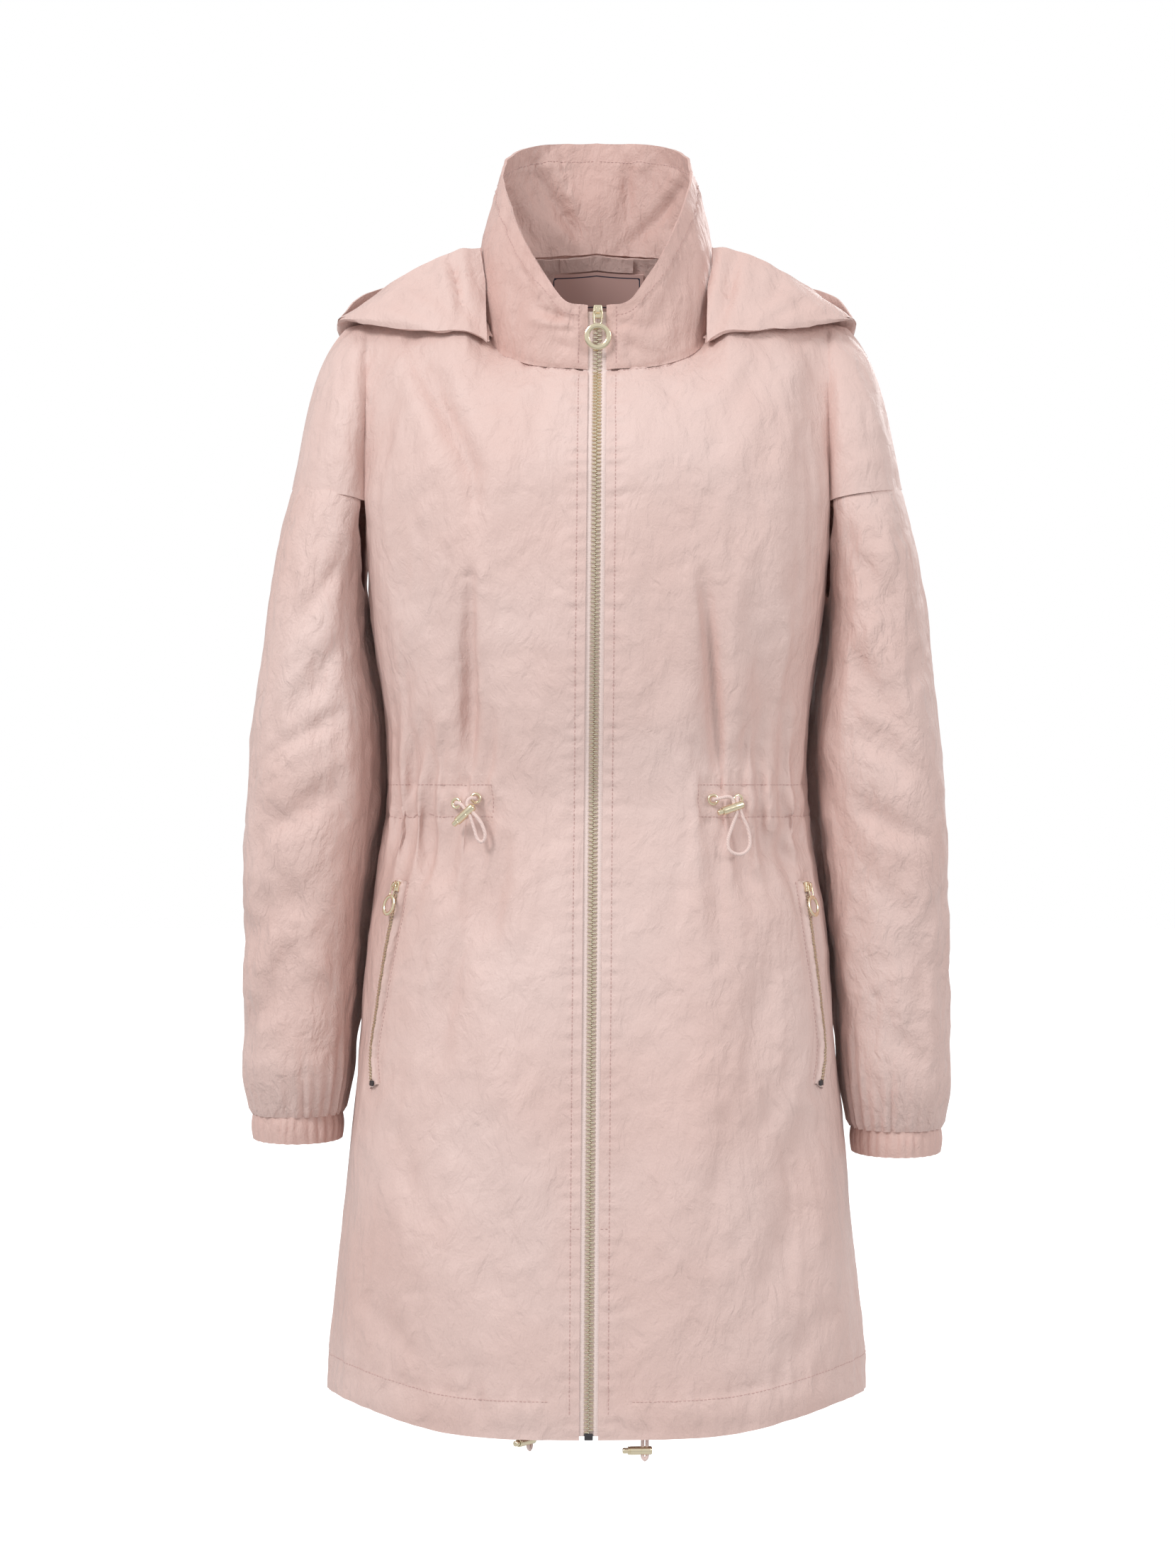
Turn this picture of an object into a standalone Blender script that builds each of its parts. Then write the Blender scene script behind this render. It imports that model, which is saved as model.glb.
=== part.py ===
"""A long hooded parka in its worn form, with no wearer inside.

Metres, +Z up, front towards -Y, and +X towards the wearer's left. The origin is in the neck opening,
level with the back neck seam. A drop is a distance below that level.
"""

import math

import bmesh
import bpy
import numpy as np
from mathutils import Matrix, Vector
from mathutils.bvhtree import BVHTree

MM = 0.001
SEAM = 0.4 * MM
BODY_CLOTH = 1.3 * MM
SLEEVE_CLOTH = 1.2 * MM
CUFF_CLOTH = 1.8 * MM
COLLAR_CLOTH = 1.8 * MM
HOOD_CLOTH = 1.2 * MM

# The body and its armholes
ZIP_EDGE = 6.8 * MM
ROUNDNESS = 0.85
CREASE_ANGLE = 72.0
ARM_DROP = 0.190
OVERARM_DROP = 0.178
ARMPIT_DROP = 0.262
SIDE_ROW_DROP = 0.300
WAIST_DROP = 0.410
HEM_DROP = 0.850
STITCH_DROP = 0.824

FRONT_COLUMNS = 14
BACK_COLUMNS = 12
CAP_COLUMNS = 6
SIDE_COLUMNS = 3
NECK_FRONT_COLUMNS = 8
NECK_BACK_COLUMNS = 7
RISE_ROWS = 6

# The neck seam, in plan
NECK_HALF = 0.090
NECK_FRONT = 0.077
NECK_BACK = 0.066
SHOULDER_CREASE = Vector((0.170, 0.0, -0.0525))
SHOULDER_END = Vector((0.187, 0.0, -0.057))
OVERARM = Vector((0.2278, 0.0, -OVERARM_DROP))
CREASE_DENT = 4 * MM
SHOULDER_ARCH = 4 * MM
# The collar's top edge, in plan
COLLAR_HALF = 0.0715
COLLAR_FRONT = 0.0785
COLLAR_BACK = 0.0740
COLLAR_BOW = 3 * MM
COLLAR_ROWS = 5
# Handles of the curve of the dropped shoulder's lower edge
CAP_NEAR = Vector((0.180, 0.066, 0.0))
CAP_FAR_DEEP = 0.054

# Waist gathers
GATHER_DEPTH = 3.6 * MM
GATHER_REACH = 0.050
CHANNEL_START = 0.066

LOWER_DROPS = (
    0.190, 0.226, 0.262, 0.300, 0.335, 0.365, 0.390, 0.411, 0.433, 0.462,
    0.495, 0.535, 0.580, 0.625, 0.675, 0.730, 0.782, 0.824, 0.836, 0.850,
)  # fmt: skip
SLEEVE_DROPS = (0.300, 0.335, 0.370, 0.4055, 0.440, 0.480, 0.520, 0.560, 0.595, 0.618, 0.632, 0.642)
# How far the inner side of a sleeve passes behind the body
SLEEVE_TUCK = 0.026
SLEEVE_RUCHE = 1.3 * MM
RUCHE_START = 0.5
ARMHOLE_EASE = 2.2 * MM
CAP_EASE = 1.6 * MM
# Degrees of the sleeve's ring under the cap, to each side of its outermost line
CAP_TURN = 128
# Metres of sleeve folds across for each degree round the ring
FOLD_SCALE = 0.00065
CUFF_COLUMNS = 56
CUFF_RUCHE = 0.8 * MM
CUFF_HEIGHT = 19.5 * MM
CUFF_CENTRE = 0.2235
CUFF_HALF = 0.033
CUFF_DEEP = 0.037
CUFF_DIP = 1.5 * MM
CUFF_TOP = {-1: 0.6424, 1: 0.6524}

# Zips
CHAIN_HALF = 3.0 * MM
CHAIN_FRONT = 0.4 * MM
CHAIN_BACK = 2.6 * MM
TAPE_INNER = 3.3 * MM
TAPE_OUTER = 10.2 * MM
TAPE_FRONT = 2.6 * MM
TAPE_BACK = 3.6 * MM
MAIN_HINGE_Z = -0.0563
CHAIN_TOP_Z = -0.0640
BOX_TOP_Z = -0.8520

CORD_RADIUS = 1.3 * MM
LOCK_RADIUS = 3.0 * MM
LOCK_LENGTH = 17.0 * MM
PLUNGER_RADIUS = 2.0 * MM
PLUNGER_OUT = 3.8 * MM
PLUNGER_IN = 3.6 * MM
BORE_RADIUS = 2.4 * MM
BORE_DEPTH = 7.6 * MM
SLOT_CENTRE = 11.9 * MM
SLOT_LONG = 6.6 * MM
SLOT_WIDE = 3.7 * MM
STRAND_APART = 1.55 * MM

FINISHES = {
    "shell": ((0.78, 0.60, 0.56), 0.62, 0.0),
    "ribbon": ((0.84, 0.70, 0.66), 0.70, 0.0),
    "label": ((0.86, 0.76, 0.73), 0.65, 0.0),
    "cord": ((0.80, 0.62, 0.58), 0.80, 0.0),
    "gold": ((0.80, 0.70, 0.48), 0.28, 1.0),
    "dark": ((0.10, 0.09, 0.09), 0.45, 0.6),
}


def table(columns, *rows):
    """A short table as one array for each named column."""
    return {name: np.array([row[i] for row in rows]) for i, name in enumerate(columns.split())}


TORSO = table(
    "drop width front back",
    (0.190, 0.178, 0.119, 0.112),
    (0.240, 0.172, 0.123, 0.113),
    (0.300, 0.165, 0.122, 0.108),
    (0.342, 0.159, 0.118, 0.101),
    (0.411, 0.157, 0.108, 0.094),
    (0.460, 0.1635, 0.115, 0.105),
    (0.505, 0.1700, 0.122, 0.114),
    (0.594, 0.1765, 0.133, 0.127),
    (0.640, 0.1815, 0.138, 0.133),
    (0.724, 0.1900, 0.146, 0.141),
    (0.808, 0.1985, 0.152, 0.148),
    (0.850, 0.2005, 0.153, 0.150),
)
HEM = table(
    "angle drop",
    (0, 0.8565),
    (25, 0.8545),
    (45, 0.8460),
    (65, 0.8410),
    (90, 0.8450),
    (135, 0.8500),
    (180, 0.8520),
)
NECK = table(
    "angle z",
    (0, -0.0990),
    (30, -0.0940),
    (55, -0.0790),
    (90, -0.0300),
    (125, -0.0040),
    (180, 0.0090),
)
COLLAR_TOP = table(
    "angle z",
    (0, -0.0520),
    (15, -0.0480),
    (27, -0.0300),
    (40, -0.0095),
    (73, 0.0420),
    (105, 0.0730),
    (140, 0.0910),
    (180, 0.0960),
)
SLEEVE = table(
    "drop inner outer middle deep",
    (0.178, 0.1815, 0.2285, 0.004, 0.064),
    (0.215, 0.1785, 0.2370, 0.004, 0.067),
    (0.262, 0.1755, 0.2435, 0.004, 0.069),
    (0.300, 0.1705, 0.2478, 0.004, 0.070),
    (0.342, 0.1645, 0.2525, 0.003, 0.070),
    (0.4055, 0.1635, 0.2590, 0.002, 0.069),
    (0.448, 0.1690, 0.2620, 0.001, 0.067),
    (0.490, 0.1745, 0.2635, 0.000, 0.064),
    (0.5325, 0.1785, 0.2640, 0.000, 0.060),
    (0.575, 0.1825, 0.2630, 0.000, 0.055),
    (0.617, 0.1875, 0.2600, 0.000, 0.047),
    (0.642, 0.1900, 0.2570, 0.000, 0.0385),
)
# The centre front wanders a little towards the wearer's right on its way down
DRIFT = table("drop shift", (0.05, 0.0005), (0.41, -0.0030), (0.78, -0.0060), (0.86, -0.0065))
FRONT_FOLDS = table(
    "side x_top drop_top x_bottom drop_bottom half_width depth",
    (-1, 0.132, 0.070, 0.088, 0.180, 0.012, -0.0076),
    (-1, 0.092, 0.270, 0.090, 0.395, 0.011, -0.0093),
    (-1, 0.076, 0.425, 0.076, 0.520, 0.014, -0.0076),
    (-1, 0.112, 0.425, 0.108, 0.470, 0.010, -0.0059),
    (-1, 0.140, 0.640, 0.120, 0.760, 0.022, 0.0059),
    (-1, 0.060, 0.560, 0.050, 0.720, 0.024, 0.0051),
    (1, 0.074, 0.270, 0.086, 0.400, 0.011, -0.0093),
    (1, 0.120, 0.300, 0.124, 0.395, 0.012, -0.0059),
    (1, 0.120, 0.425, 0.142, 0.465, 0.010, -0.0076),
    (1, 0.158, 0.630, 0.134, 0.690, 0.016, -0.0059),
    (1, 0.070, 0.560, 0.080, 0.740, 0.024, 0.0059),
)
BACK_FOLDS = table(
    "side x_top drop_top x_bottom drop_bottom half_width depth",
    (-1, 0.070, 0.300, 0.064, 0.395, 0.013, -0.0085),
    (1, 0.052, 0.280, 0.060, 0.395, 0.012, -0.0085),
    (-1, 0.060, 0.430, 0.074, 0.560, 0.015, -0.0076),
    (1, 0.080, 0.430, 0.070, 0.540, 0.013, -0.0068),
    (-1, 0.110, 0.580, 0.120, 0.760, 0.024, 0.0059),
    (1, 0.030, 0.600, 0.040, 0.780, 0.026, 0.0059),
)
SLEEVE_FOLDS = table(
    "side angle_top drop_top angle_bottom drop_bottom half_width depth",
    (-1, 100, 0.470, 20, 0.520, 0.014, -0.0053),
    (-1, 90, 0.545, 30, 0.580, 0.012, -0.0053),
    (-1, -110, 0.330, -30, 0.400, 0.016, -0.0060),
    (1, 110, 0.225, 60, 0.300, 0.013, -0.0067),
    (1, 100, 0.500, 30, 0.560, 0.013, -0.0053),
    (1, -100, 0.440, -30, 0.480, 0.016, -0.0060),
)
HOOD = table(
    "neck_angle fold_x fold_y fold_z rim_x rim_y rim_z bulge",
    (58, 0.0790, -0.0530, -0.0775, 0.0885, -0.0120, 0.0000, 0.001),
    (66, 0.1118, -0.0560, -0.0720, 0.1020, -0.0140, -0.0020, 0.003),
    (75, 0.1432, -0.0450, -0.0673, 0.1270, -0.0150, -0.0120, 0.003),
    (84, 0.1737, -0.0300, -0.0610, 0.1560, -0.0100, -0.0280, 0.003),
    (92, 0.1925, -0.0040, -0.0570, 0.1880, 0.0060, -0.0480, 0.001),
    (102, 0.1870, 0.0340, -0.0780, 0.1790, 0.0300, -0.0290, 0.004),
    (116, 0.1660, 0.0800, -0.1200, 0.1520, 0.0620, -0.0150, 0.010),
    (132, 0.1320, 0.1080, -0.1700, 0.1120, 0.0900, -0.0060, 0.018),
    (148, 0.0880, 0.1240, -0.2120, 0.0720, 0.1080, 0.0000, 0.022),
    (164, 0.0440, 0.1300, -0.2340, 0.0360, 0.1160, 0.0020, 0.024),
    (180, 0.0000, 0.1320, -0.2400, 0.0000, 0.1190, 0.0030, 0.024),
)
HOOD_STEPS = 16
HOOD_LOWER = (0.0, 0.17, 0.36, 0.56, 0.75, 0.91)
HOOD_UPPER = (0.10, 0.35, 0.65, 1.0)
DEEPEST_PUSH = 0.03
EDGE_REACH = 1 * MM
# Clearance of the hood's two layers from the cloth below
HOOD_LOWER_LIFT = 5.8 * MM
HOOD_UPPER_LIFT = 6.2 * MM
HOOD_SEAM_OUT = 2.5 * MM
HOOD_SEAM_UP = 2.0 * MM
HOOD_ARCH = 6 * MM
HOOD_FOLD_ROUND = 2.0 * MM
HOOD_UPPER_OUT = 1.5 * MM
HOOD_UPPER_UP = 4.5 * MM

POCKET_LINES = {
    -1: table(
        "x drop", (-0.1410, 0.468), (-0.1500, 0.512), (-0.1580, 0.562), (-0.1625, 0.600), (-0.1610, 0.617)
    ),
    1: table(
        "x drop", (0.1490, 0.469), (0.1550, 0.512), (0.1612, 0.562), (0.1638, 0.592), (0.1602, 0.617)
    ),
}
POCKET_TAPE_HALF = 4.6 * MM
POCKET_CHAIN_HALF = 2.3 * MM

# Routes of the waist cords, seen from the front, from the middle of the lock's slot:
# millimetres across, up, and out from the cloth
WAIST_PLACE = {-1: (-0.0880, 0.4172), 1: (0.0968, 0.4153)}
WAIST_TURN = {-1: 41.5, 1: 18.4}
WAIST_EYELETS = {-1: ((-11.7, 5.1), (2.5, 8.7)), 1: ((-15.7, 5.6), (3.0, 5.6))}
WAIST_ROUTES = {
    -1: (
        (-11.7, 5.1, 1.2), (-11.6, 5.2, 2.6), (-10.6, 5.4, 4.4), (-8.0, 5.2, 5.8), (-5.4, 3.6, 6.4),
        (-3.24, 1.41, 6.5), (-1.12, -0.99, 6.5), (1.0, -3.39, 6.5), (2.6, -8.0, 6.0), (4.4, -14.0, 5.2),
        (6.0, -19.0, 4.8), (8.8, -22.4, 4.6), (11.6, -21.0, 4.6), (12.2, -16.0, 4.8), (9.5, -9.0, 5.6),
        (6.0, -4.4, 6.2), (3.24, -1.41, 6.5), (1.12, 0.99, 6.5), (-1.0, 3.39, 6.5), (-1.5, 6.0, 6.2),
        (-0.4, 8.4, 5.2), (1.6, 9.0, 3.6), (2.5, 8.7, 2.2), (2.5, 8.7, 1.2),
    ),
    1: (
        (-15.7, 5.6, 1.2), (-15.6, 5.7, 2.6), (-14.4, 5.9, 4.6), (-11.0, 6.6, 6.0), (-6.5, 7.2, 6.5),
        (-3.6, 5.8, 6.5), (-2.43, 2.57, 6.5), (-1.42, -0.47, 6.5), (-0.41, -3.5, 6.5), (-1.8, -8.0, 6.2),
        (-5.0, -16.0, 5.6), (-7.6, -24.0, 5.0), (-6.8, -30.5, 4.8), (-1.5, -33.8, 4.8), (4.5, -33.2, 4.8),
        (8.8, -28.5, 4.8), (9.3, -22.0, 5.0), (7.6, -14.5, 5.6), (4.4, -8.0, 6.2), (2.43, -2.57, 6.5),
        (1.42, 0.47, 6.5), (0.41, 3.5, 6.5), (0.4, 5.8, 6.0), (1.6, 6.8, 4.8), (2.8, 6.2, 3.4),
        (3.0, 5.6, 2.2), (3.0, 5.6, 1.2),
    ),
}  # fmt: skip
# The hem locks: place of the slot's middle, and the turn of the barrel about Z
HEM_PLACE = {-1: Vector((-0.0476, -0.1395, -0.8590)), 1: Vector((0.0332, -0.1450, -0.8650))}
HEM_TURN = {-1: 50.0, 1: 4.0}
HEM_RUN = {-1: 0.012, 1: 0.0185}


def hermite(start, start_slope, end, end_slope, share):
    """A cubic between two values with the given slopes."""
    s2, s3 = share * share, share**3
    return (
        (2 * s3 - 3 * s2 + 1) * start
        + (s3 - 2 * s2 + share) * start_slope
        + (3 * s2 - 2 * s3) * end
        + (s3 - s2) * end_slope
    )


def read(rows, key, at, name):
    """One column of a table where another column has a value, on a smooth curve through the rows."""
    places, values = rows[key], rows[name]
    slopes = np.gradient(values, places)
    i = int(np.clip(np.searchsorted(places, at) - 1, 0, len(places) - 2))
    step = places[i + 1] - places[i]
    share = min(max((at - places[i]) / step, 0.0), 1.0)
    return hermite(values[i], slopes[i] * step, values[i + 1], slopes[i + 1] * step, share)


def mix(low, high, share):
    return low + (high - low) * share


def bell(distance, half_width):
    return math.exp(-((distance / half_width) ** 2))


def fold_lift(folds, side, first, drop, keys):
    """How far the folds of one table raise the cloth at a place."""
    lift = 0.0
    for i, fold_side in enumerate(folds["side"]):
        if fold_side != side:
            continue
        top = np.array((folds[keys[0]][i], folds["drop_top"][i]))
        run = np.array((folds[keys[1]][i], folds["drop_bottom"][i])) - top
        here = np.array((first, drop)) - top
        along = min(max(float(here @ run / (run @ run)), 0.0), 1.0)
        taper = 0.35 + 0.65 * math.sin(math.pi * min(max(along, 0.02), 0.98))
        away = float(np.linalg.norm(here - along * run))
        lift += folds["depth"][i] * taper * bell(away, folds["half_width"][i])
    return lift


def gathers(column, x, drop, from_x):
    """Waist gathers: one ridge and one valley for each two columns."""
    if x < from_x:
        return 0.0
    near_waist = bell(drop - WAIST_DROP - 0.006, GATHER_REACH)
    uneven = 0.75 + 0.25 * math.sin(column * 2.3)
    return GATHER_DEPTH * uneven * near_waist * math.cos(math.pi * column)


def drift(drop):
    return read(DRIFT, "drop", drop, "shift")


def torso_point(side, angle, drop, column=None):
    """A point of the body below the arms. The angle runs from the centre front to the centre back."""
    width = read(TORSO, "drop", drop, "width")
    front = read(TORSO, "drop", drop, "front")
    back = read(TORSO, "drop", drop, "back")
    turn = math.radians(angle)
    reach = abs(math.sin(turn)) ** ROUNDNESS
    deep = abs(math.cos(turn)) ** ROUNDNESS
    on_front = angle < 90
    x = width * reach
    y = -front * deep if on_front else back * deep
    if abs(angle - 90) < 0.01:
        y = 0.0
    outward = Vector((x / width**2, y / (front if on_front else back) ** 2, 0)).normalized()
    rim = 0.0
    if drop > STITCH_DROP:
        rim = 1.6 * MM * math.sin(math.pi * min((drop - STITCH_DROP) / 0.026, 1.0))
    folds = FRONT_FOLDS if on_front else BACK_FOLDS
    lift = rim + fold_lift(folds, side, x, drop, ("x_top", "x_bottom"))
    if column is not None:
        lift += gathers(column, x, drop, CHANNEL_START if on_front else 0.0)
    calm = min((angle - 90) ** 2 / 28.0**2, 1.0)
    if on_front:
        calm *= min(x / 0.03, 1.0)
        x = ZIP_EDGE + x * (1 - ZIP_EDGE / width)
    place = Vector((x, y, -drop)) + outward * lift * calm
    place.x = place.x * side + drift(drop) * max(0.0, 1 - abs(x) / width)
    return place


def neck_point(side, angle):
    """A point of the neck seam. The angle runs from the centre front to the centre back."""
    turn = math.radians(angle)
    x = NECK_HALF * math.sin(turn)
    if angle < 90:
        x = ZIP_EDGE + x * (1 - ZIP_EDGE / NECK_HALF)
    y = -(NECK_FRONT if angle < 90 else NECK_BACK) * math.cos(turn)
    if abs(angle - 90) < 0.01:
        y = 0.0
    return Vector((x * side, y, read(NECK, "angle", angle, "z")))


def cap_edge(is_front, out):
    """The lower edge of the dropped shoulder, from the crease to the overarm line, for the wearer's left."""
    angle = CREASE_ANGLE if is_front else 180 - CREASE_ANGLE
    start = torso_point(1, angle, ARM_DROP)
    way = -1 if is_front else 1
    first = Vector((CAP_NEAR.x, CAP_NEAR.y * way, 0))
    second = Vector((OVERARM.x, CAP_FAR_DEEP * way, 0))
    back = 1 - out
    place = start * back**3 + first * 3 * back**2 * out + second * 3 * back * out**2 + OVERARM * out**3
    place.z = -mix(ARM_DROP, OVERARM_DROP, out)
    if out > 0.999:
        place.y = 0.0
    return place


def top_edge(is_front, across):
    """The neck seam and then the shoulder seam, for the wearer's left."""
    if is_front:
        neck_share = NECK_FRONT_COLUMNS / FRONT_COLUMNS
    else:
        neck_share = NECK_BACK_COLUMNS / BACK_COLUMNS
    if across <= neck_share + 1e-6:
        angle = 90 * min(across / neck_share, 1.0)
        return neck_point(1, angle if is_front else 180 - angle)
    start = neck_point(1, 90)
    if across <= 1:
        share = (across - neck_share) / (1 - neck_share)
        return start.lerp(SHOULDER_CREASE, share) + Vector((0, 0, SHOULDER_ARCH * math.sin(math.pi * share)))
    return SHOULDER_CREASE.lerp(SHOULDER_END, across - 1)


def upper_point(side, is_front, across, rise):
    """A point above the arm level: across is 0 at the centre, 1 at the crease and 2 on the overarm line."""
    way = 1 if is_front else -1
    if across <= 1:
        angle = across * CREASE_ANGLE
        column = across * (FRONT_COLUMNS if is_front else BACK_COLUMNS)
        low = torso_point(side, angle if is_front else 180 - angle, ARM_DROP, column)
        low.x *= side
    else:
        low = cap_edge(is_front, across - 1)
    high = top_edge(is_front, across)
    length = (high - low).length
    out = max(across - 1, 0.0)
    low_slope = Vector((-0.25 * out, 0, 1)).normalized()
    inner = Vector((0, 0.58 * way, 0.81)) if is_front else Vector((0, -0.42, 0.90))
    shoulder = Vector((0, 0.96 * way, 0.28))
    high_slope = inner.lerp(shoulder, min(across / 0.6, 1.0))
    high_slope = high_slope.lerp(Vector((-0.70, 0, 0.70)), out).normalized()
    place = hermite(low, low_slope * length, high, high_slope * length, rise)
    middle = 4 * rise * (1 - rise)
    near_crease = bell((across - 1) * FRONT_COLUMNS, 1.6)
    lift = fold_lift(FRONT_FOLDS, side, place.x, -place.z, ("x_top", "x_bottom")) if is_front else 0.0
    place.y -= way * (lift * min(middle * 2, 1.0) - CREASE_DENT * middle * near_crease)
    if out > 0.999:
        place.y = 0.0
    place.x *= side
    return place


def side_drop(angle):
    """The top of the underarm side, between the crease and the side seam."""
    share = 1 - abs(angle - 90) / (90 - CREASE_ANGLE)
    return mix(ARM_DROP, ARMPIT_DROP, math.sin(math.pi / 2 * share))


def row_drop(angle, drop):
    """A row's real drop: level under the arms, and shaped to the hem further down."""
    if abs(angle - 90) < 90 - CREASE_ANGLE and drop < SIDE_ROW_DROP:
        top = side_drop(angle)
        return mix(top, SIDE_ROW_DROP, (drop - ARM_DROP) / (SIDE_ROW_DROP - ARM_DROP))
    ramp = min(max((drop - 0.6) / (HEM_DROP - 0.6), 0.0), 1.0)
    return drop + (read(HEM, "angle", angle, "drop") - HEM_DROP) * ramp


class Surface:
    """A cloth face as named points and the four-sided faces between them."""

    def __init__(self):
        self.places = []
        self.index = {}
        self.faces = []

    def point(self, key, place):
        if key not in self.index:
            self.index[key] = len(self.places)
            self.places.append(Vector(place))
        return self.index[key]

    def grid(self, rows, flip=False):
        """Faces between neighbouring rows of point numbers."""
        for low, high in zip(rows, rows[1:]):
            for i in range(len(low) - 1):
                face = (low[i], low[i + 1], high[i + 1], high[i])
                self.faces.append(face[::-1] if flip else face)

    def normals(self):
        sums = [Vector() for _ in self.places]
        for face in self.faces:
            a, b, c, d = (self.places[i] for i in face)
            normal = (c - a).cross(d - b)
            for i in face:
                sums[i] += normal
        return [total.normalized() for total in sums]

    def tree(self):
        return BVHTree.FromPolygons(self.places, self.faces)


def material_of(name):
    if name in bpy.data.materials:
        return bpy.data.materials[name]
    color, roughness, metallic = FINISHES[name]
    material = bpy.data.materials.new(name)
    material.use_nodes = True
    shader = material.node_tree.nodes["Principled BSDF"]
    shader.inputs["Base Color"].default_value = (*color, 1)
    shader.inputs["Roughness"].default_value = roughness
    shader.inputs["Metallic"].default_value = metallic
    return material


def add_object(name, places, faces, finish, smooth=True):
    """A closed mesh object with its faces pointing out."""
    mesh = bpy.data.meshes.new(name)
    mesh.from_pydata([tuple(place) for place in places], [], faces)
    shape = bmesh.new()
    shape.from_mesh(mesh)
    bmesh.ops.recalc_face_normals(shape, faces=shape.faces)
    bmesh.ops.triangulate(shape, faces=[face for face in shape.faces if len(face.verts) == 4])
    shape.to_mesh(mesh)
    shape.free()
    if smooth:
        mesh.shade_smooth()
        mesh.set_sharp_from_angle(angle=math.radians(50))
    material = material_of(finish).copy()
    material.name = f"{name}_{finish}"
    mesh.materials.append(material)
    item = bpy.data.objects.new(name, mesh)
    bpy.context.scene.collection.objects.link(item)
    return item


def wall(name, surface, thickness, finish, reverse=False):
    """The surface as the outer face of a closed wall, with its rim square to it."""
    normals = surface.normals()
    way = -1 if reverse else 1
    inner = []
    for place, normal in zip(surface.places, normals):
        if abs(place.y) <= SEAM:
            normal = Vector((normal.x, 0, normal.z)).normalized()
        inner.append(place - normal * thickness * way)
    count = len(surface.places)
    faces = [tuple(face) for face in surface.faces]
    faces += [tuple(i + count for i in reversed(face)) for face in surface.faces]
    ends = {}
    for face in surface.faces:
        for i, start in enumerate(face):
            ends[start, face[(i + 1) % 4]] = True
    for start, end in ends:
        if (end, start) not in ends:
            faces.append((end, start, start + count, end + count))
    return add_object(name, surface.places + inner, faces, finish)


def shifted(place, is_front):
    """Half of the gap at the seams between front and back."""
    return place + Vector((0, -SEAM / 2 if is_front else SEAM / 2, 0))


def half_panel(surface, side, is_front):
    """One front, or one half of the back, from centre to side seam and overarm line."""
    columns = FRONT_COLUMNS if is_front else BACK_COLUMNS
    flip = (side > 0) != is_front

    def key(kind, i, row):
        middle = not is_front and kind == "torso" and i == 0
        return (kind, 0 if middle else side, i, row)

    def body(i, drop):
        angle = CREASE_ANGLE * i / columns
        if not is_front:
            angle = 180 - angle
        place = torso_point(side, angle, row_drop(angle, drop), i)
        return surface.point(key("torso", i, drop), shifted(place, is_front))

    def upper(i, row):
        if row == 0 and i <= columns:
            return body(i, ARM_DROP)
        across = i / columns if i <= columns else 1 + (i - columns) / CAP_COLUMNS
        place = upper_point(side, is_front, across, row / RISE_ROWS)
        return surface.point(key("torso" if i <= columns else "cap", i, -row), shifted(place, is_front))

    def under(i, drop):
        if i == 0:
            return body(columns, drop)
        angle = mix(CREASE_ANGLE, 90, i / SIDE_COLUMNS)
        if not is_front:
            angle = 180 - angle
        place = torso_point(side, angle, row_drop(angle, drop))
        return surface.point(key("side", i, drop), shifted(place, is_front))

    surface.grid([[body(i, drop) for i in range(columns + 1)] for drop in LOWER_DROPS], not flip)
    surface.grid([[under(i, drop) for i in range(SIDE_COLUMNS + 1)] for drop in LOWER_DROPS], not flip)
    rows = range(RISE_ROWS + 1)
    surface.grid([[upper(i, row) for i in range(columns + 1)] for row in rows], flip)
    cap = range(columns, columns + CAP_COLUMNS + 1)
    surface.grid([[upper(i, row) for i in cap] for row in rows], flip)


def sleeve_angles():
    """Where each column of the sleeve's ring stands: the outer arc first, then the inner one."""
    outer = [CAP_TURN * (1 - i / CAP_COLUMNS) for i in range(2 * CAP_COLUMNS + 1)]
    count = 2 * SIDE_COLUMNS
    inner = [-CAP_TURN - (360 - 2 * CAP_TURN) * i / count for i in range(1, count)]
    return outer + inner


def sleeve_ring_point(side, angle, drop):
    inner, outer, middle, deep = (
        read(SLEEVE, "drop", drop, name) for name in ("inner", "outer", "middle", "deep")
    )
    turn = math.radians(angle)
    half = (outer - inner) / 2
    away = math.copysign(abs(math.cos(turn)) ** ROUNDNESS, math.cos(turn))
    ahead = math.copysign(abs(math.sin(turn)) ** ROUNDNESS, math.sin(turn))
    place = Vector(((inner + outer) / 2 + half * away, middle - deep * ahead, -drop))
    if away < 0 and ahead < 0:
        fade = min(max((drop - 0.25) / 0.06, 0.0), 1.0) * min(max((0.62 - drop) / 0.09, 0.0), 1.0)
        place.x -= SLEEVE_TUCK * away * ahead * fade
    if abs(angle) < 115:
        flat = dict(SLEEVE_FOLDS)
        flat["angle_top"] = SLEEVE_FOLDS["angle_top"] * FOLD_SCALE
        flat["angle_bottom"] = SLEEVE_FOLDS["angle_bottom"] * FOLD_SCALE
        lift = fold_lift(flat, side, angle * FOLD_SCALE, drop, ("angle_top", "angle_bottom"))
        place += Vector((away, -ahead, 0)).normalized() * lift
    return place


def armhole_points(side):
    """The sleeve's own edge at the armhole, just below the cap and just outside the body's side."""
    points = []
    for i in range(2 * CAP_COLUMNS + 1):
        is_front = i <= CAP_COLUMNS
        out = i / CAP_COLUMNS if is_front else 2 - i / CAP_COLUMNS
        place = cap_edge(is_front, out) - Vector((0, 0, 1.5 * SEAM))
        place.x += CAP_EASE * (1 - out) ** 2
        points.append(place)
    count = 2 * SIDE_COLUMNS
    for i in range(1, count):
        angle = mix(180 - CREASE_ANGLE, CREASE_ANGLE, i / count)
        points.append(torso_point(1, angle, side_drop(angle)) + Vector((ARMHOLE_EASE, 0, 0)))
    return points


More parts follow.
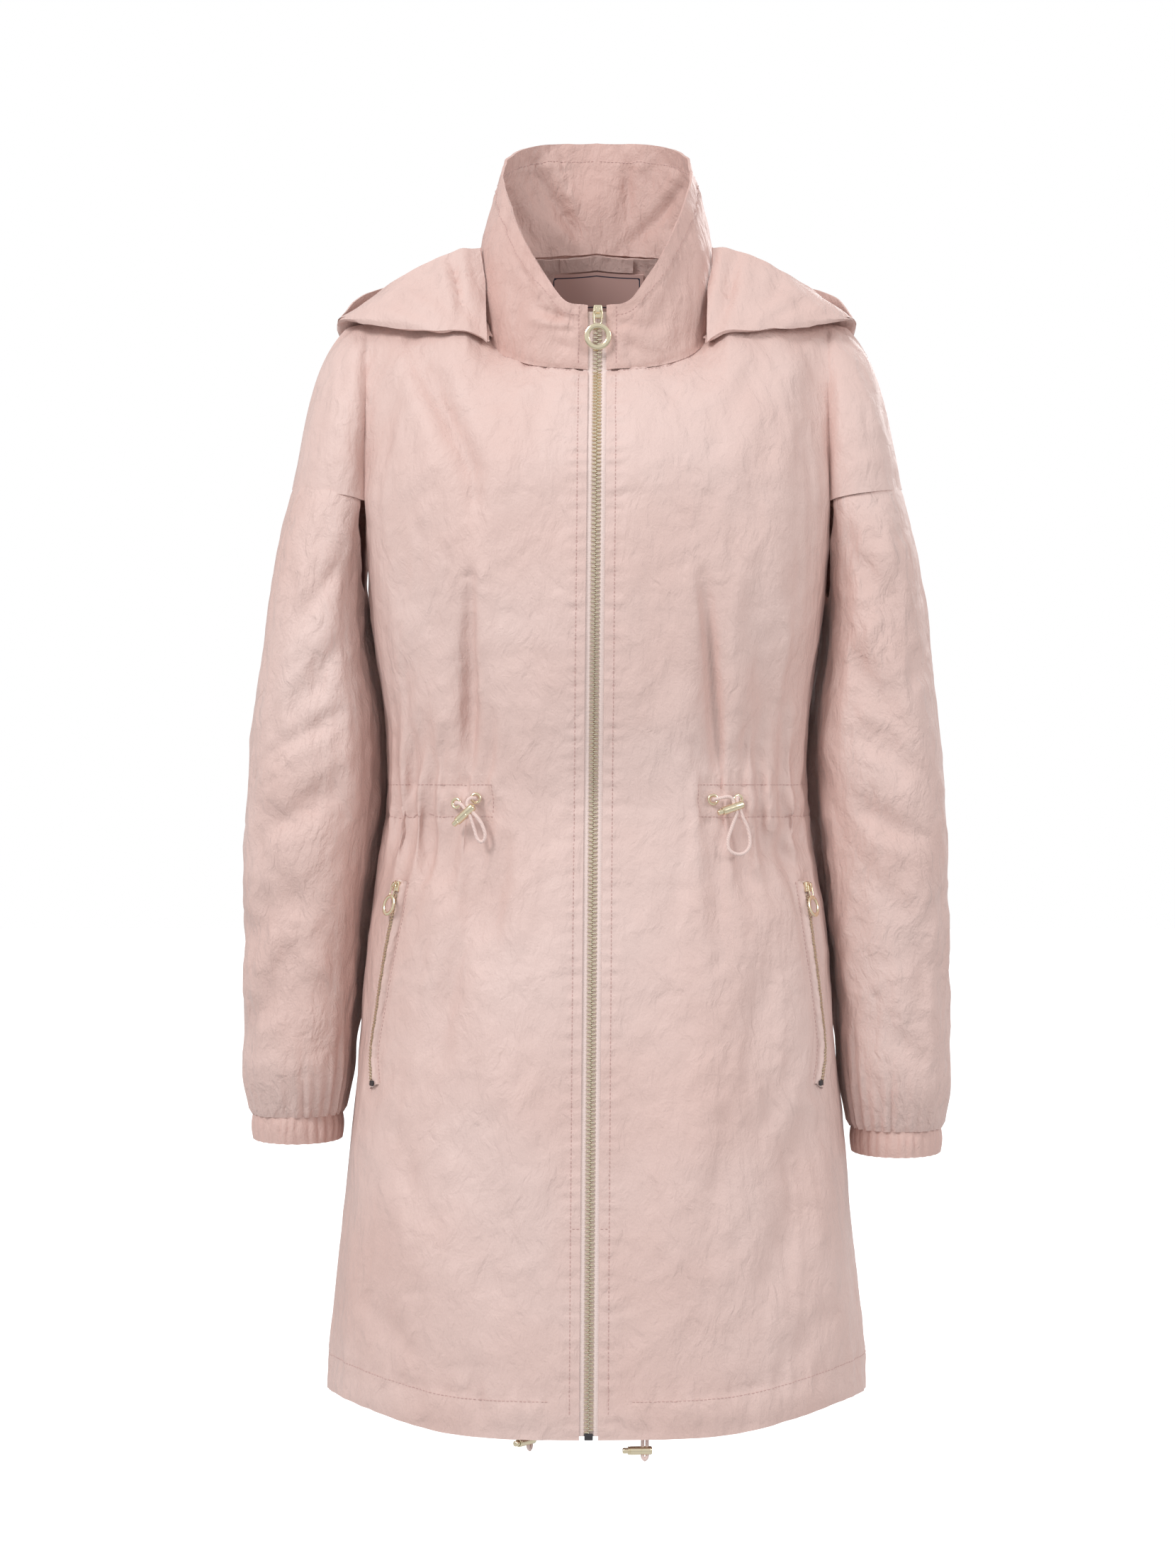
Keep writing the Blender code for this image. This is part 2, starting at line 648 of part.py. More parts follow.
def build_sleeve(side, name):
    surface = Surface()
    angles = sleeve_angles()
    edge = armhole_points(side)
    extra = CUFF_TOP[side] - SEAM - SLEEVE_DROPS[-1]
    steps = [0.0, 0.34, 0.67] + [1.0] * len(SLEEVE_DROPS)
    drops = [SLEEVE_DROPS[0]] * 3 + list(SLEEVE_DROPS)
    rows = []
    for row, (step, level) in enumerate(zip(steps, drops)):
        ring = []
        for i, (angle, start) in enumerate(zip(angles, edge)):
            drop = mix(-start.z, level, step)
            seam = sleeve_ring_point(side, angle, -start.z)
            place = sleeve_ring_point(side, angle, drop)
            place += Vector((start.x - seam.x, start.y - seam.y, 0)) * (1 - step) ** 2
            ramp = min(max((drop - RUCHE_START) / (SLEEVE_DROPS[-1] - RUCHE_START), 0.0), 1.0)
            inner, outer = read(SLEEVE, "drop", drop, "inner"), read(SLEEVE, "drop", drop, "outer")
            centre = Vector(((inner + outer) / 2, 0, place.z))
            ruche = SLEEVE_RUCHE * ramp**2 * math.cos(math.pi * i)
            place += (place - centre).normalized() * ruche
            place.z -= extra * ramp
            place.x *= side
            ring.append(surface.point((i, row), place))
        rows.append(ring + ring[:1])
    surface.grid(rows, side > 0)
    return wall(name, surface, SLEEVE_CLOTH, "shell")


def build_cuff(side, name):
    surface = Surface()
    rows = []
    for row, share in enumerate((0.0, 1.0)):
        ring = []
        for i in range(CUFF_COLUMNS):
            turn = 2 * math.pi * i / CUFF_COLUMNS
            ruche = CUFF_RUCHE * math.cos(math.pi * i)
            x = CUFF_CENTRE + (CUFF_HALF + ruche) * math.cos(turn)
            y = -(CUFF_DEEP + ruche) * math.sin(turn)
            dip = CUFF_DIP * math.sin(turn) * share
            z = -CUFF_TOP[side] - CUFF_HEIGHT * share - dip
            ring.append(surface.point((i, row), (x * side, y, z)))
        rows.append(ring + ring[:1])
    surface.grid(rows, side < 0)
    return wall(name, surface, CUFF_CLOTH, "shell")


def collar_angles():
    front = [90 * i / NECK_FRONT_COLUMNS for i in range(NECK_FRONT_COLUMNS + 1)]
    back = [90 + 90 * i / NECK_BACK_COLUMNS for i in range(1, NECK_BACK_COLUMNS + 1)]
    return front + back


def collar_point(side, angle, rise):
    """A point of the stand collar's outer face, from its seam to its top edge."""
    base = neck_point(side, angle) + Vector((0, 0, 1.5 * SEAM))
    turn = math.radians(angle)
    x = COLLAR_HALF * math.sin(turn)
    if angle < 90:
        x = ZIP_EDGE + x * (1 - ZIP_EDGE / COLLAR_HALF)
    y = -(COLLAR_FRONT if angle < 90 else COLLAR_BACK) * math.cos(turn)
    top = Vector((x * side, y, read(COLLAR_TOP, "angle", angle, "z")))
    place = base.lerp(top, rise)
    bow = COLLAR_BOW * math.sin(math.pi * rise) * math.sin(turn)
    return place + Vector((math.sin(turn) * side, -math.cos(turn), 0)) * bow


def build_collar():
    surface = Surface()
    angles = collar_angles()
    round_neck = [(1, angle) for angle in angles] + [(-1, angle) for angle in reversed(angles[:-1])]
    rows = []
    for row in range(COLLAR_ROWS + 1):
        rise = row / COLLAR_ROWS
        rows.append([surface.point((i, row), collar_point(*at, rise)) for i, at in enumerate(round_neck)])
    surface.grid(rows)
    wall("collar", surface, COLLAR_CLOTH, "shell")
    return surface


def pushed_clear(place, trees, gap):
    """The place, moved out where it is closer than the gap to a face or an edge below it."""
    for tree in list(trees) * 2:
        near, normal, _, _ = tree.find_nearest(place)
        offset = place - near
        height = offset.dot(normal)
        beside = (offset - normal * height).length
        if beside < EDGE_REACH and -DEEPEST_PUSH < height < gap:
            place = place + normal * (gap - height)
        elif beside >= EDGE_REACH and offset.length < gap:
            place = place + offset.normalized() * (gap - offset.length)
    return place


def hood_profile(side, step, trees):
    """One section of the hood: along the shoulder from the neck seam, round the fold and up to the rim."""
    count = len(HOOD["neck_angle"]) - 1
    rows = dict(HOOD, step=np.arange(count + 1) / count)
    get = {name: float(read(rows, "step", step, name)) for name in HOOD}
    seam = neck_point(1, get["neck_angle"])
    outward = Vector((seam.x, seam.y, 0)).normalized()
    seam += outward * HOOD_SEAM_OUT + Vector((0, 0, HOOD_SEAM_UP))
    fold = Vector((get["fold_x"], get["fold_y"], get["fold_z"]))
    rim = Vector((get["rim_x"], get["rim_y"], get["rim_z"]))
    section = []
    for share in HOOD_LOWER:
        place = seam.lerp(fold, share)
        place.z += HOOD_ARCH * math.sin(math.pi * share)
        section.append(place)
    away = Vector((fold.x, fold.y, 0)).normalized()
    section.append(fold + (away + Vector((0, 0, 1))) * HOOD_FOLD_ROUND)
    for share in HOOD_UPPER:
        place = fold.lerp(rim, share)
        place += away * (get["bulge"] * math.sin(math.pi * min(share * 1.1, 1.0)) + HOOD_UPPER_OUT)
        place.z += HOOD_UPPER_UP * (1 - share)
        section.append(place)
    for i, place in enumerate(section):
        place.x *= side
        lift = HOOD_LOWER_LIFT if i < len(HOOD_LOWER) else HOOD_UPPER_LIFT
        section[i] = pushed_clear(place, trees, lift)
    return section


def build_hood(trees):
    surface = Surface()
    stations = [(1, i / HOOD_STEPS) for i in range(HOOD_STEPS + 1)]
    stations += [(-1, i / HOOD_STEPS) for i in range(HOOD_STEPS - 1, -1, -1)]
    rows = []
    for i, (side, step) in enumerate(stations):
        section = hood_profile(side, step, trees)
        rows.append([surface.point((i, j), place) for j, place in enumerate(section)])
    surface.grid(rows)
    wall("hood", surface, HOOD_CLOTH, "shell")


def slab(name, lower, upper, finish):
    """A closed strip between two rows-of-points faces with the same layout."""
    rows, columns = len(lower), len(lower[0])
    places = [place for row in lower for place in row] + [place for row in upper for place in row]
    count = rows * columns
    faces = []
    for r in range(rows - 1):
        for c in range(columns - 1):
            a = r * columns + c
            face = (a, a + 1, a + columns + 1, a + columns)
            faces.append(face[::-1])
            faces.append(tuple(i + count for i in face))
    edge = [c for c in range(columns)]
    edge += [r * columns + columns - 1 for r in range(1, rows)]
    edge += [(rows - 1) * columns + c for c in range(columns - 2, -1, -1)]
    edge += [r * columns for r in range(rows - 2, 0, -1)]
    for start, end in zip(edge, edge[1:] + edge[:1]):
        faces.append((start, end, end + count, start + count))
    return add_object(name, places, faces, finish)


def centre_line():
    """The line that the front zip follows, from the hem to the collar's top, with its outward direction."""
    line = []
    for drop in reversed(LOWER_DROPS):
        place = torso_point(1, 0, row_drop(0, drop), 0)
        line.append(Vector((place.x - ZIP_EDGE, place.y, place.z)))
    for row in range(1, RISE_ROWS + 1):
        place = upper_point(1, True, 0, row / RISE_ROWS)
        line.append(Vector((drift(-place.z), place.y, place.z)))
    for rise in (0.2, 0.4, 0.6, 0.8, 1.0):
        place = collar_point(1, 0, rise)
        line.append(Vector((drift(-place.z), place.y, place.z)))
    ways = []
    for i in range(len(line)):
        run = line[min(i + 1, len(line) - 1)] - line[max(i - 1, 0)]
        ways.append(Vector((0, -run.z, run.y)).normalized())
    return line, ways


def cut_line(line, ways, low_z, high_z):
    """The stretch of the line between two heights, with new ends at exactly those heights."""
    heights = [place.z for place in line]

    def at(z):
        i = int(np.clip(np.searchsorted(heights, z), 1, len(line) - 1))
        share = (z - heights[i - 1]) / (heights[i] - heights[i - 1])
        return line[i - 1].lerp(line[i], share), ways[i - 1].lerp(ways[i], share).normalized()

    inside = [(p, w) for p, w in zip(line, ways) if low_z + 1 * MM < p.z < high_z - 1 * MM]
    return [at(low_z)] + inside + [at(high_z)]


def centre_strip(name, stretch, x_low, x_high, near, far, finish):
    """A strip behind the centre line, between two offsets across and two behind."""
    lower, upper = [], []
    for place, way in stretch:
        lower.append([place + Vector((x, 0, 0)) - way * far for x in (x_low, x_high)])
        upper.append([place + Vector((x, 0, 0)) - way * near for x in (x_low, x_high)])
    return slab(name, lower, upper, finish)


def block(low, high):
    """Corners and faces of a box, as a bmesh."""
    shape = bmesh.new()
    bmesh.ops.create_cube(shape, size=1)
    low, high = Vector(low), Vector(high)
    size = high - low
    middle = (low + high) / 2
    for vert in shape.verts:
        vert.co = Vector((vert.co.x * size.x, vert.co.y * size.y, vert.co.z * size.z)) + middle
    return shape


def from_shape(name, shape, finish, matrix, bevel=0.0):
    """A bmesh as an object placed by a matrix, with its edges rounded off."""
    if bevel:
        bmesh.ops.bevel(
            shape, geom=list(shape.edges), offset=bevel, segments=1, affect="EDGES", clamp_overlap=True
        )
    mesh = bpy.data.meshes.new(name)
    shape.to_mesh(mesh)
    shape.free()
    material = material_of(finish).copy()
    material.name = f"{name}_{finish}"
    mesh.materials.append(material)
    item = bpy.data.objects.new(name, mesh)
    bpy.context.scene.collection.objects.link(item)
    item.matrix_world = matrix
    return item


def prism(outline, low_x, high_x):
    """An outline in the YZ plane, drawn out along X, as a bmesh."""
    shape = bmesh.new()
    low = [shape.verts.new((low_x, y, z)) for y, z in outline]
    high = [shape.verts.new((high_x, y, z)) for y, z in outline]
    shape.faces.new(low)
    shape.faces.new(list(reversed(high)))
    for i in range(len(outline)):
        j = (i + 1) % len(outline)
        shape.faces.new((low[i], high[i], high[j], low[j]))
    bmesh.ops.recalc_face_normals(shape, faces=shape.faces)
    return shape


def turned(profile, segments, closed=False):
    """A profile of radius and height pairs spun about Z, as a bmesh."""
    shape = bmesh.new()
    rings = []
    for radius, height in profile:
        if radius < 1e-9:
            rings.append([shape.verts.new((0, 0, height))])
            continue
        ring = []
        for i in range(segments):
            turn = 2 * math.pi * i / segments
            ring.append(shape.verts.new((radius * math.cos(turn), radius * math.sin(turn), height)))
        rings.append(ring)
    pairs = list(zip(rings, rings[1:]))
    if closed:
        pairs.append((rings[-1], rings[0]))
    for low, high in pairs:
        for i in range(segments):
            j = (i + 1) % segments
            corners = [low[i % len(low)], low[j % len(low)], high[j % len(high)], high[i % len(high)]]
            shape.faces.new(list(dict.fromkeys(corners)))
    bmesh.ops.recalc_face_normals(shape, faces=shape.faces)
    for face in shape.faces:
        face.smooth = True
    return shape


def helper(name, shape, matrix):
    """A guide for a Boolean, left out of the model."""
    item = from_shape(name, shape, "dark", matrix)
    item.hide_render = True
    item.display_type = "WIRE"
    return item


def boolean(item, other, operation):
    modifier = item.modifiers.new(f"{operation}_{other.name}", "BOOLEAN")
    modifier.operation = operation
    modifier.solver = "EXACT"
    modifier.object = other


def axes_matrix(place, across, up, out):
    """A frame with local X across, local Z up and local Y into the cloth."""
    columns = (across, -out, up)
    matrix = Matrix.Identity(4)
    for i, axis in enumerate(columns):
        matrix.col[i][:3] = axis
    matrix.col[3][:3] = place
    return matrix


def build_slider(name, matrix, size):
    """A slider: a wedge body with an arch over its hinge line. The hinge line is local X at the origin."""
    unit = MM * size
    body = block((-4.2 * unit, 1.4 * unit, -5.6 * unit), (4.2 * unit, 4.6 * unit, 4.0 * unit))
    for vert in body.verts:
        if vert.co.z > 0:
            vert.co.x *= 0.72
    slider = from_shape(name, body, "gold", matrix, 0.5 * unit)
    arch = [(2.0, 2.9), (-0.9, 2.5), (-2.1, 1.5), (-2.1, -1.5), (-0.9, -2.5), (2.0, -2.9)]
    arch += [(2.0, -2.0), (-0.3, -1.6), (-1.2, -0.9), (-1.2, 0.9), (-0.3, 1.6), (2.0, 2.0)]
    outline = [(y * unit, z * unit) for y, z in arch]
    bridge = helper(f"{name}_bridge", prism(outline, -1.3 * unit, 1.3 * unit), matrix)
    boolean(slider, bridge, "UNION")
    return slider


def build_pull(name, matrix, size, ring_outer, ring_inner, ring_drop, squeeze):
    """A pull: a link round the hinge line and a plain ring below it."""
    ring = turned(
        (
            (ring_inner, 0.0),
            (ring_inner + 0.6 * MM, -0.8 * MM),
            (ring_outer - 0.6 * MM, -0.8 * MM),
            (ring_outer, 0.0),
            (ring_outer - 0.6 * MM, 0.8 * MM),
            (ring_inner + 0.6 * MM, 0.8 * MM),
        ),
        22,
        closed=True,
    )
    flat = Matrix.Translation((0, 0, -ring_drop)) @ Matrix.Diagonal((squeeze, 1, 1, 1))
    ring.transform(flat @ Matrix.Rotation(math.pi / 2, 4, "X"))
    pull = from_shape(name, ring, "gold", matrix)
    half, bar = 3.75 * MM * size, 0.62 * MM * size
    link_end = -(ring_drop - ring_outer + 1.2 * MM)
    frame = block((-half, -bar, link_end), (half, bar, bar))
    hole = block((-half + 2 * bar, -2 * bar, link_end + 1.8 * bar), (half - 2 * bar, 2 * bar, -bar))
    link = helper(f"{name}_link", frame, matrix)
    inside = helper(f"{name}_hole", hole, matrix)
    boolean(link, inside, "DIFFERENCE")
    boolean(pull, link, "UNION")
    return pull


def build_main_zip():
    line, ways = centre_line()
    hem_z, collar_z = line[0].z, line[-1].z
    tape = cut_line(line, ways, hem_z + 0.8 * MM, collar_z - 0.8 * MM)
    for side, name in ((1, "zip_tape_left"), (-1, "zip_tape_right")):
        low, high = sorted((side * TAPE_INNER, side * TAPE_OUTER))
        centre_strip(name, tape, low, high, TAPE_FRONT, TAPE_BACK, "ribbon")
    chain = cut_line(line, ways, BOX_TOP_Z + 0.3 * MM, CHAIN_TOP_Z)
    centre_strip("zip_chain", chain, -CHAIN_HALF, CHAIN_HALF, CHAIN_FRONT, CHAIN_BACK, "gold")
    box = cut_line(line, ways, hem_z + 0.1 * MM, BOX_TOP_Z)
    centre_strip("zip_box", [box[0], box[-1]], -CHAIN_HALF, CHAIN_HALF, 0.1 * MM, CHAIN_BACK, "dark")
    top, way = cut_line(line, ways, MAIN_HINGE_Z, MAIN_HINGE_Z + 2 * MM)[0]
    out = Vector((0, -1, 0))
    place = top + out * 4.4 * MM
    matrix = axes_matrix(place, Vector((1, 0, 0)), Vector((0, 0, 1)), out)
    build_slider("zip_slider", matrix, 1.0)
    build_pull("zip_pull", matrix, 1.0, 9.7 * MM, 6.1 * MM, 19.0 * MM, 1.0)


def front_hit(tree, x, drop):
    hit = tree.ray_cast(Vector((x, -1.0, -drop)), Vector((0, 1, 0)))
    return hit[0], hit[1]


def seat_on(tree, x, drop, radius, span=9 * MM):
    """A frame on the front's cloth, lifted until a disc of the radius lies clear of it."""
    centre = front_hit(tree, x, drop)[0]
    right, left = front_hit(tree, x + span, drop)[0], front_hit(tree, x - span, drop)[0]
    high, low = front_hit(tree, x, drop - span)[0], front_hit(tree, x, drop + span)[0]
    across, up = (right - left).normalized(), (high - low).normalized()
    out = across.cross(up).normalized()
    up = out.cross(across).normalized()
    lift = 0.0
    for i in range(16):
        turn = 2 * math.pi * i / 16
        for share in (0.5, 1.0):
            reach = radius * share
            aim = centre + across * math.cos(turn) * reach + up * math.sin(turn) * reach
            hit = front_hit(tree, aim.x, -aim.z)[0]
            if hit is not None:
                lift = max(lift, (hit - centre).dot(out))
    place = centre + out * (lift + 0.35 * MM)
    return place, across, up, out


def build_eyelet(name, place, across, up, out):
    profile = (
        (2.0 * MM, 0.0),
        (4.2 * MM, 0.0),
        (3.4 * MM, 1.0 * MM),
        (2.4 * MM, 1.0 * MM),
    )
    shape = turned(profile, 14, closed=True)
    shape.transform(Matrix.Rotation(math.pi / 2, 4, "X"))
    from_shape(name, shape, "gold", axes_matrix(place, across, up, out))


def lock_matrix(middle, axis, hole):
    """Local Z along the barrel from its closed end, local X along the cord hole."""
    third = axis.cross(hole).normalized()
    hole = third.cross(axis).normalized()
    matrix = Matrix.Identity(4)
    for i, column in enumerate((hole, third, axis)):
        matrix.col[i][:3] = column
    matrix.col[3][:3] = middle - axis * (LOCK_LENGTH - SLOT_CENTRE)
    return matrix


def build_lock(lock_name, plunger_name, matrix):
    """A barrel with a hole across it for two strands, and a spring plunger in its open end."""
    r, length = LOCK_RADIUS, LOCK_LENGTH
    floor = length - BORE_DEPTH
    profile = (
        (0.0, 0.0),
        (r * 0.70, 0.0),
        (r, 1.0 * MM),
        (r, length - 0.6 * MM),
        (r * 0.9, length),
        (BORE_RADIUS, length),
        (BORE_RADIUS, floor),
        (0.0, floor),
    )
    barrel = from_shape(lock_name, turned(profile, 12), "gold", matrix)
    slot_z = length - SLOT_CENTRE
    cutter = block(
        (-2 * r, -SLOT_WIDE / 2, slot_z - SLOT_LONG / 2), (2 * r, SLOT_WIDE / 2, slot_z + SLOT_LONG / 2)
    )
    boolean(barrel, helper(f"{lock_name}_slot", cutter, matrix), "DIFFERENCE")
    tip = length + PLUNGER_OUT
    stem = (
        (0.0, length - PLUNGER_IN),
        (PLUNGER_RADIUS, length - PLUNGER_IN),
        (PLUNGER_RADIUS, tip - 0.8 * MM),
        (PLUNGER_RADIUS * 0.7, tip),
        (0.0, tip),
    )
    from_shape(plunger_name, turned(stem, 12), "gold", matrix)


def smooth_route(points, spacing):
    """Evenly spaced points of a smooth curve through the route's own points."""
    points = [Vector(point) for point in points]
    fine = []
    for i in range(len(points) - 1):
        before, after = points[max(i - 1, 0)], points[min(i + 2, len(points) - 1)]
        start, end = points[i], points[i + 1]
        start_slope = (end - before) * (0.5 if i else 1.0)
        end_slope = (after - start) * (0.5 if i < len(points) - 2 else 1.0)
        fine += [hermite(start, start_slope, end, end_slope, step / 12) for step in range(12)]
    fine.append(points[-1])
    lengths = np.concatenate([[0], np.cumsum([(b - a).length for a, b in zip(fine, fine[1:])])])
    count = max(2, round(lengths[-1] / spacing))
    route = []
    for i in range(count + 1):
        at = lengths[-1] * i / count
        j = int(np.clip(np.searchsorted(lengths, at), 1, len(fine) - 1))
        share = (at - lengths[j - 1]) / max(lengths[j] - lengths[j - 1], 1e-9)
        route.append(fine[j - 1].lerp(fine[j], share))
    return route


def build_cord(name, points):
    route = smooth_route(points, 6.0 * MM)
    curve = bpy.data.curves.new(name, "CURVE")
    curve.dimensions = "3D"
    curve.bevel_depth = CORD_RADIUS
    curve.bevel_resolution = 2
    curve.use_fill_caps = True
    spline = curve.splines.new("POLY")
    spline.points.add(len(route) - 1)
    for point, place in zip(spline.points, route):
        point.co = (*place, 1)
    material = material_of("cord").copy()
    material.name = f"{name}_cord"
    curve.materials.append(material)
    item = bpy.data.objects.new(name, curve)
    bpy.context.scene.collection.objects.link(item)


def build_waist_cord(side, word, tree):
    x, drop = WAIST_PLACE[side]
    place, across, up, out = seat_on(tree, x, drop, 9 * MM, 16 * MM)
    for number, (u, v) in enumerate(WAIST_EYELETS[side], 1):
        aim = place + across * u * MM + up * v * MM
        build_eyelet(f"eyelet_{word}_{number}", *seat_on(tree, aim.x, -aim.z, 4.4 * MM))
    turn = math.radians(WAIST_TURN[side])
    axis = -(across * math.cos(turn) + up * math.sin(turn))
    hole = (up * math.cos(turn) - across * math.sin(turn)).normalized()
    middle = place + out * 6.5 * MM
    build_lock(f"waist_lock_{word}", f"waist_plunger_{word}", lock_matrix(middle, axis, hole))
    route = [place + across * u * MM + up * v * MM + out * w * MM for u, v, w in WAIST_ROUTES[side]]
    build_cord(f"waist_cord_{word}", route)


def build_hem_cord(side, word):
    middle = HEM_PLACE[side]
    turn = math.radians(HEM_TURN[side])
    axis = Vector((-math.cos(turn), -math.sin(turn), 0))
    build_lock(f"hem_lock_{word}", f"hem_plunger_{word}", lock_matrix(middle, axis, Vector((0, 0, 1))))
    run, apart = HEM_RUN[side], STRAND_APART
    route = []
    for way, height in ((-1, run), (-1, run * 0.6), (-1, 0.0), (-1, -4.4 * MM), (0, -6.6 * MM)):
        route.append(middle + axis * apart * way + Vector((0, 0, height)))
    for way, height in ((1, -4.4 * MM), (1, 0.0), (1, run * 0.6), (1, run)):
        route.append(middle + axis * apart * way + Vector((0, 0, height)))
    build_cord(f"hem_cord_{word}", route)


def build_pocket(side, word, tree):
    """A slanted zip on the front: tape, chain, slider, pull and end stop."""
    rows = POCKET_LINES[side]
    first, last = float(rows["drop"][0]), float(rows["drop"][-1])
    count = 16
    frames = []
    for i in range(count + 1):
        drop = mix(first, last, i / count)
        x = float(read(rows, "drop", drop, "x"))
        frames.append(seat_on(tree, x, drop, POCKET_TAPE_HALF, 7 * MM))

    def strip(name, start, end, half, low, high, finish):
        lower, upper = [], []
        for place, across, _, out in frames[start : end + 1]:
            lower.append([place + across * w + out * low for w in (-half, half)])
            upper.append([place + across * w + out * high for w in (-half, half)])
        return slab(name, lower, upper, finish)

    strip(f"pocket_tape_{word}", 0, count, POCKET_TAPE_HALF, 0.3 * MM, 1.3 * MM, "ribbon")
    strip(f"pocket_chain_{word}", 2, count - 1, POCKET_CHAIN_HALF, 1.6 * MM, 2.7 * MM, "gold")
    place, across, up, out = frames[-1]
    end = axes_matrix(place + out * 2.3 * MM + up * 2.6 * MM, across, up, out)
    stop = block((-2.4 * MM, -0.8 * MM, -2.2 * MM), (2.4 * MM, 0.7 * MM, 1.6 * MM))
    from_shape(f"pocket_stop_{word}", stop, "dark", end, 0.3 * MM)
    place, across, up, out = frames[0]
    run = (frames[0][0] - frames[2][0]).normalized()
    up = (run - out * run.dot(out)).normalized()
    across = up.cross(out).normalized() * -1
    across = across if across.x > 0 else -across
    hinge = place - up * 4.2 * MM + out * 5.4 * MM
    matrix = axes_matrix(hinge, across, up, out)
    build_slider(f"pocket_slider_{word}", matrix, 0.78)
    build_pull(f"pocket_pull_{word}", matrix, 0.78, 8.0 * MM, 5.0 * MM, 15.5 * MM, 0.82)


def build_neck_pieces():
    """The hanger loop and the bare label, on the inside of the back just under the neck seam."""

    def inside(x, rise, gap):
        side = 1 if x >= 0 else -1
        turn = math.degrees(math.asin(min(abs(x) / NECK_HALF, 1)))
        across = turn / 90 * NECK_BACK_COLUMNS / BACK_COLUMNS
        place = upper_point(side, False, across, rise)
        beside = upper_point(side, False, across, rise - 0.02)
        run = (place - beside).normalized()
        out = Vector((0, run.z, -run.y)).normalized()
        return Vector((x, place.y, place.z)) - out * (BODY_CLOTH + gap)

    def patch(name, half, rises, low, high, finish):
        xs = [half * (i / 4 - 1) for i in range(9)]
        near = [[inside(x, rise, low) for x in xs] for rise in rises]
        far = [[inside(x, rise, high) for x in xs] for rise in rises]
        slab(name, near, far, finish)

    patch("hanger_loop", 28 * MM, (0.99, 0.96, 0.93), 2.2 * MM, 3.4 * MM, "ribbon")
    patch("neck_label", 36 * MM, (0.915, 0.87, 0.82, 0.77), 1.8 * MM, 2.8 * MM, "label")


def main():
    for item in list(bpy.data.objects):
        bpy.data.objects.remove(item)
    words = {1: "left", -1: "right"}
    fronts = {}
    for side, word in words.items():
        fronts[side] = Surface()
        half_panel(fronts[side], side, True)
        wall(f"front_{word}", fronts[side], BODY_CLOTH, "shell")
        build_sleeve(side, f"sleeve_{word}")
        build_cuff(side, f"cuff_{word}")
    back = Surface()
    for side in words:
        half_panel(back, side, False)
    wall("back", back, BODY_CLOTH, "shell")
    collar = build_collar()
    build_hood([fronts[1].tree(), fronts[-1].tree(), back.tree(), collar.tree()])
    build_neck_pieces()
    build_main_zip()
    for side, word in words.items():
        tree = fronts[side].tree()
        build_pocket(side, word, tree)
        build_waist_cord(side, word, tree)
        build_hem_cord(side, word)


main()
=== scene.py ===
"""Looks of a long hooded parka in its worn form, with no wearer inside.

Metres, +Z up, front towards -Y, and +X towards the wearer's left. A drop is a distance below the back
neck seam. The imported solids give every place; the cloth shells follow the same sections as the solids,
sampled finely enough for their folds, gathers and puckers.
"""

import logging
import math
from dataclasses import dataclass, field
from enum import Enum
from functools import cache

import bmesh
import bpy
import numpy as np
from mathutils import Matrix, Vector, noise
from mathutils.bvhtree import BVHTree


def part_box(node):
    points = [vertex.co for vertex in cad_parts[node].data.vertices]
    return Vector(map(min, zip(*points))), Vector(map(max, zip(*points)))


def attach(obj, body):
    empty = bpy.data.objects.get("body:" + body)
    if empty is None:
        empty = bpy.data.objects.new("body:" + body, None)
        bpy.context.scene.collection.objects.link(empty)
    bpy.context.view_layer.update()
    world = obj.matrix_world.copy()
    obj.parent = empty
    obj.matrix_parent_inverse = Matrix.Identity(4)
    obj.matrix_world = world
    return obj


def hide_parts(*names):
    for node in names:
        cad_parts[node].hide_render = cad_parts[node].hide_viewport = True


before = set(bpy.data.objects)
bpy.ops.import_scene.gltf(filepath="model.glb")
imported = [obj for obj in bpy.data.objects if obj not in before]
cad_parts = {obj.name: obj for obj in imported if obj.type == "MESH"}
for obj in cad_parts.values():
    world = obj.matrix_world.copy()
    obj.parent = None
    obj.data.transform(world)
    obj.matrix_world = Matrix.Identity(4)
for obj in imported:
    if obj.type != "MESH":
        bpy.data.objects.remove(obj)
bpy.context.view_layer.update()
LOG = logging.getLogger("parka")

Number = float | np.ndarray
Color = tuple[float, float, float]

MM = 0.001
SEAM = 0.4 * MM
ZIP_EDGE = 6.8 * MM
ROUNDNESS = 0.85
CREASE_ANGLE = 72.0
ARM_DROP = 0.190
OVERARM_DROP = 0.178
ARMPIT_DROP = 0.262
SIDE_ROW_DROP = 0.300
WAIST_DROP = 0.410
HEM_DROP = 0.850
STITCH_DROP = 0.824
NECK_HALF = 0.090
NECK_FRONT = 0.077
NECK_BACK = 0.066
CHANNEL_START = 0.066
CAP_COLUMNS = 6
PANEL_KEYS = ("x_top", "drop_top", "x_bottom", "drop_bottom")
RING_KEYS = ("angle_top", "drop_top", "angle_bottom", "drop_bottom")
FACE_KEYS = ("x_top", "z_top", "x_bottom", "z_bottom")


class Side(Enum):
    """The wearer's own left or right, with the sign of X there."""

    LEFT = 1
    RIGHT = -1

    @property
    def word(self) -> str:
        """The word in node names."""
        return self.name.lower()


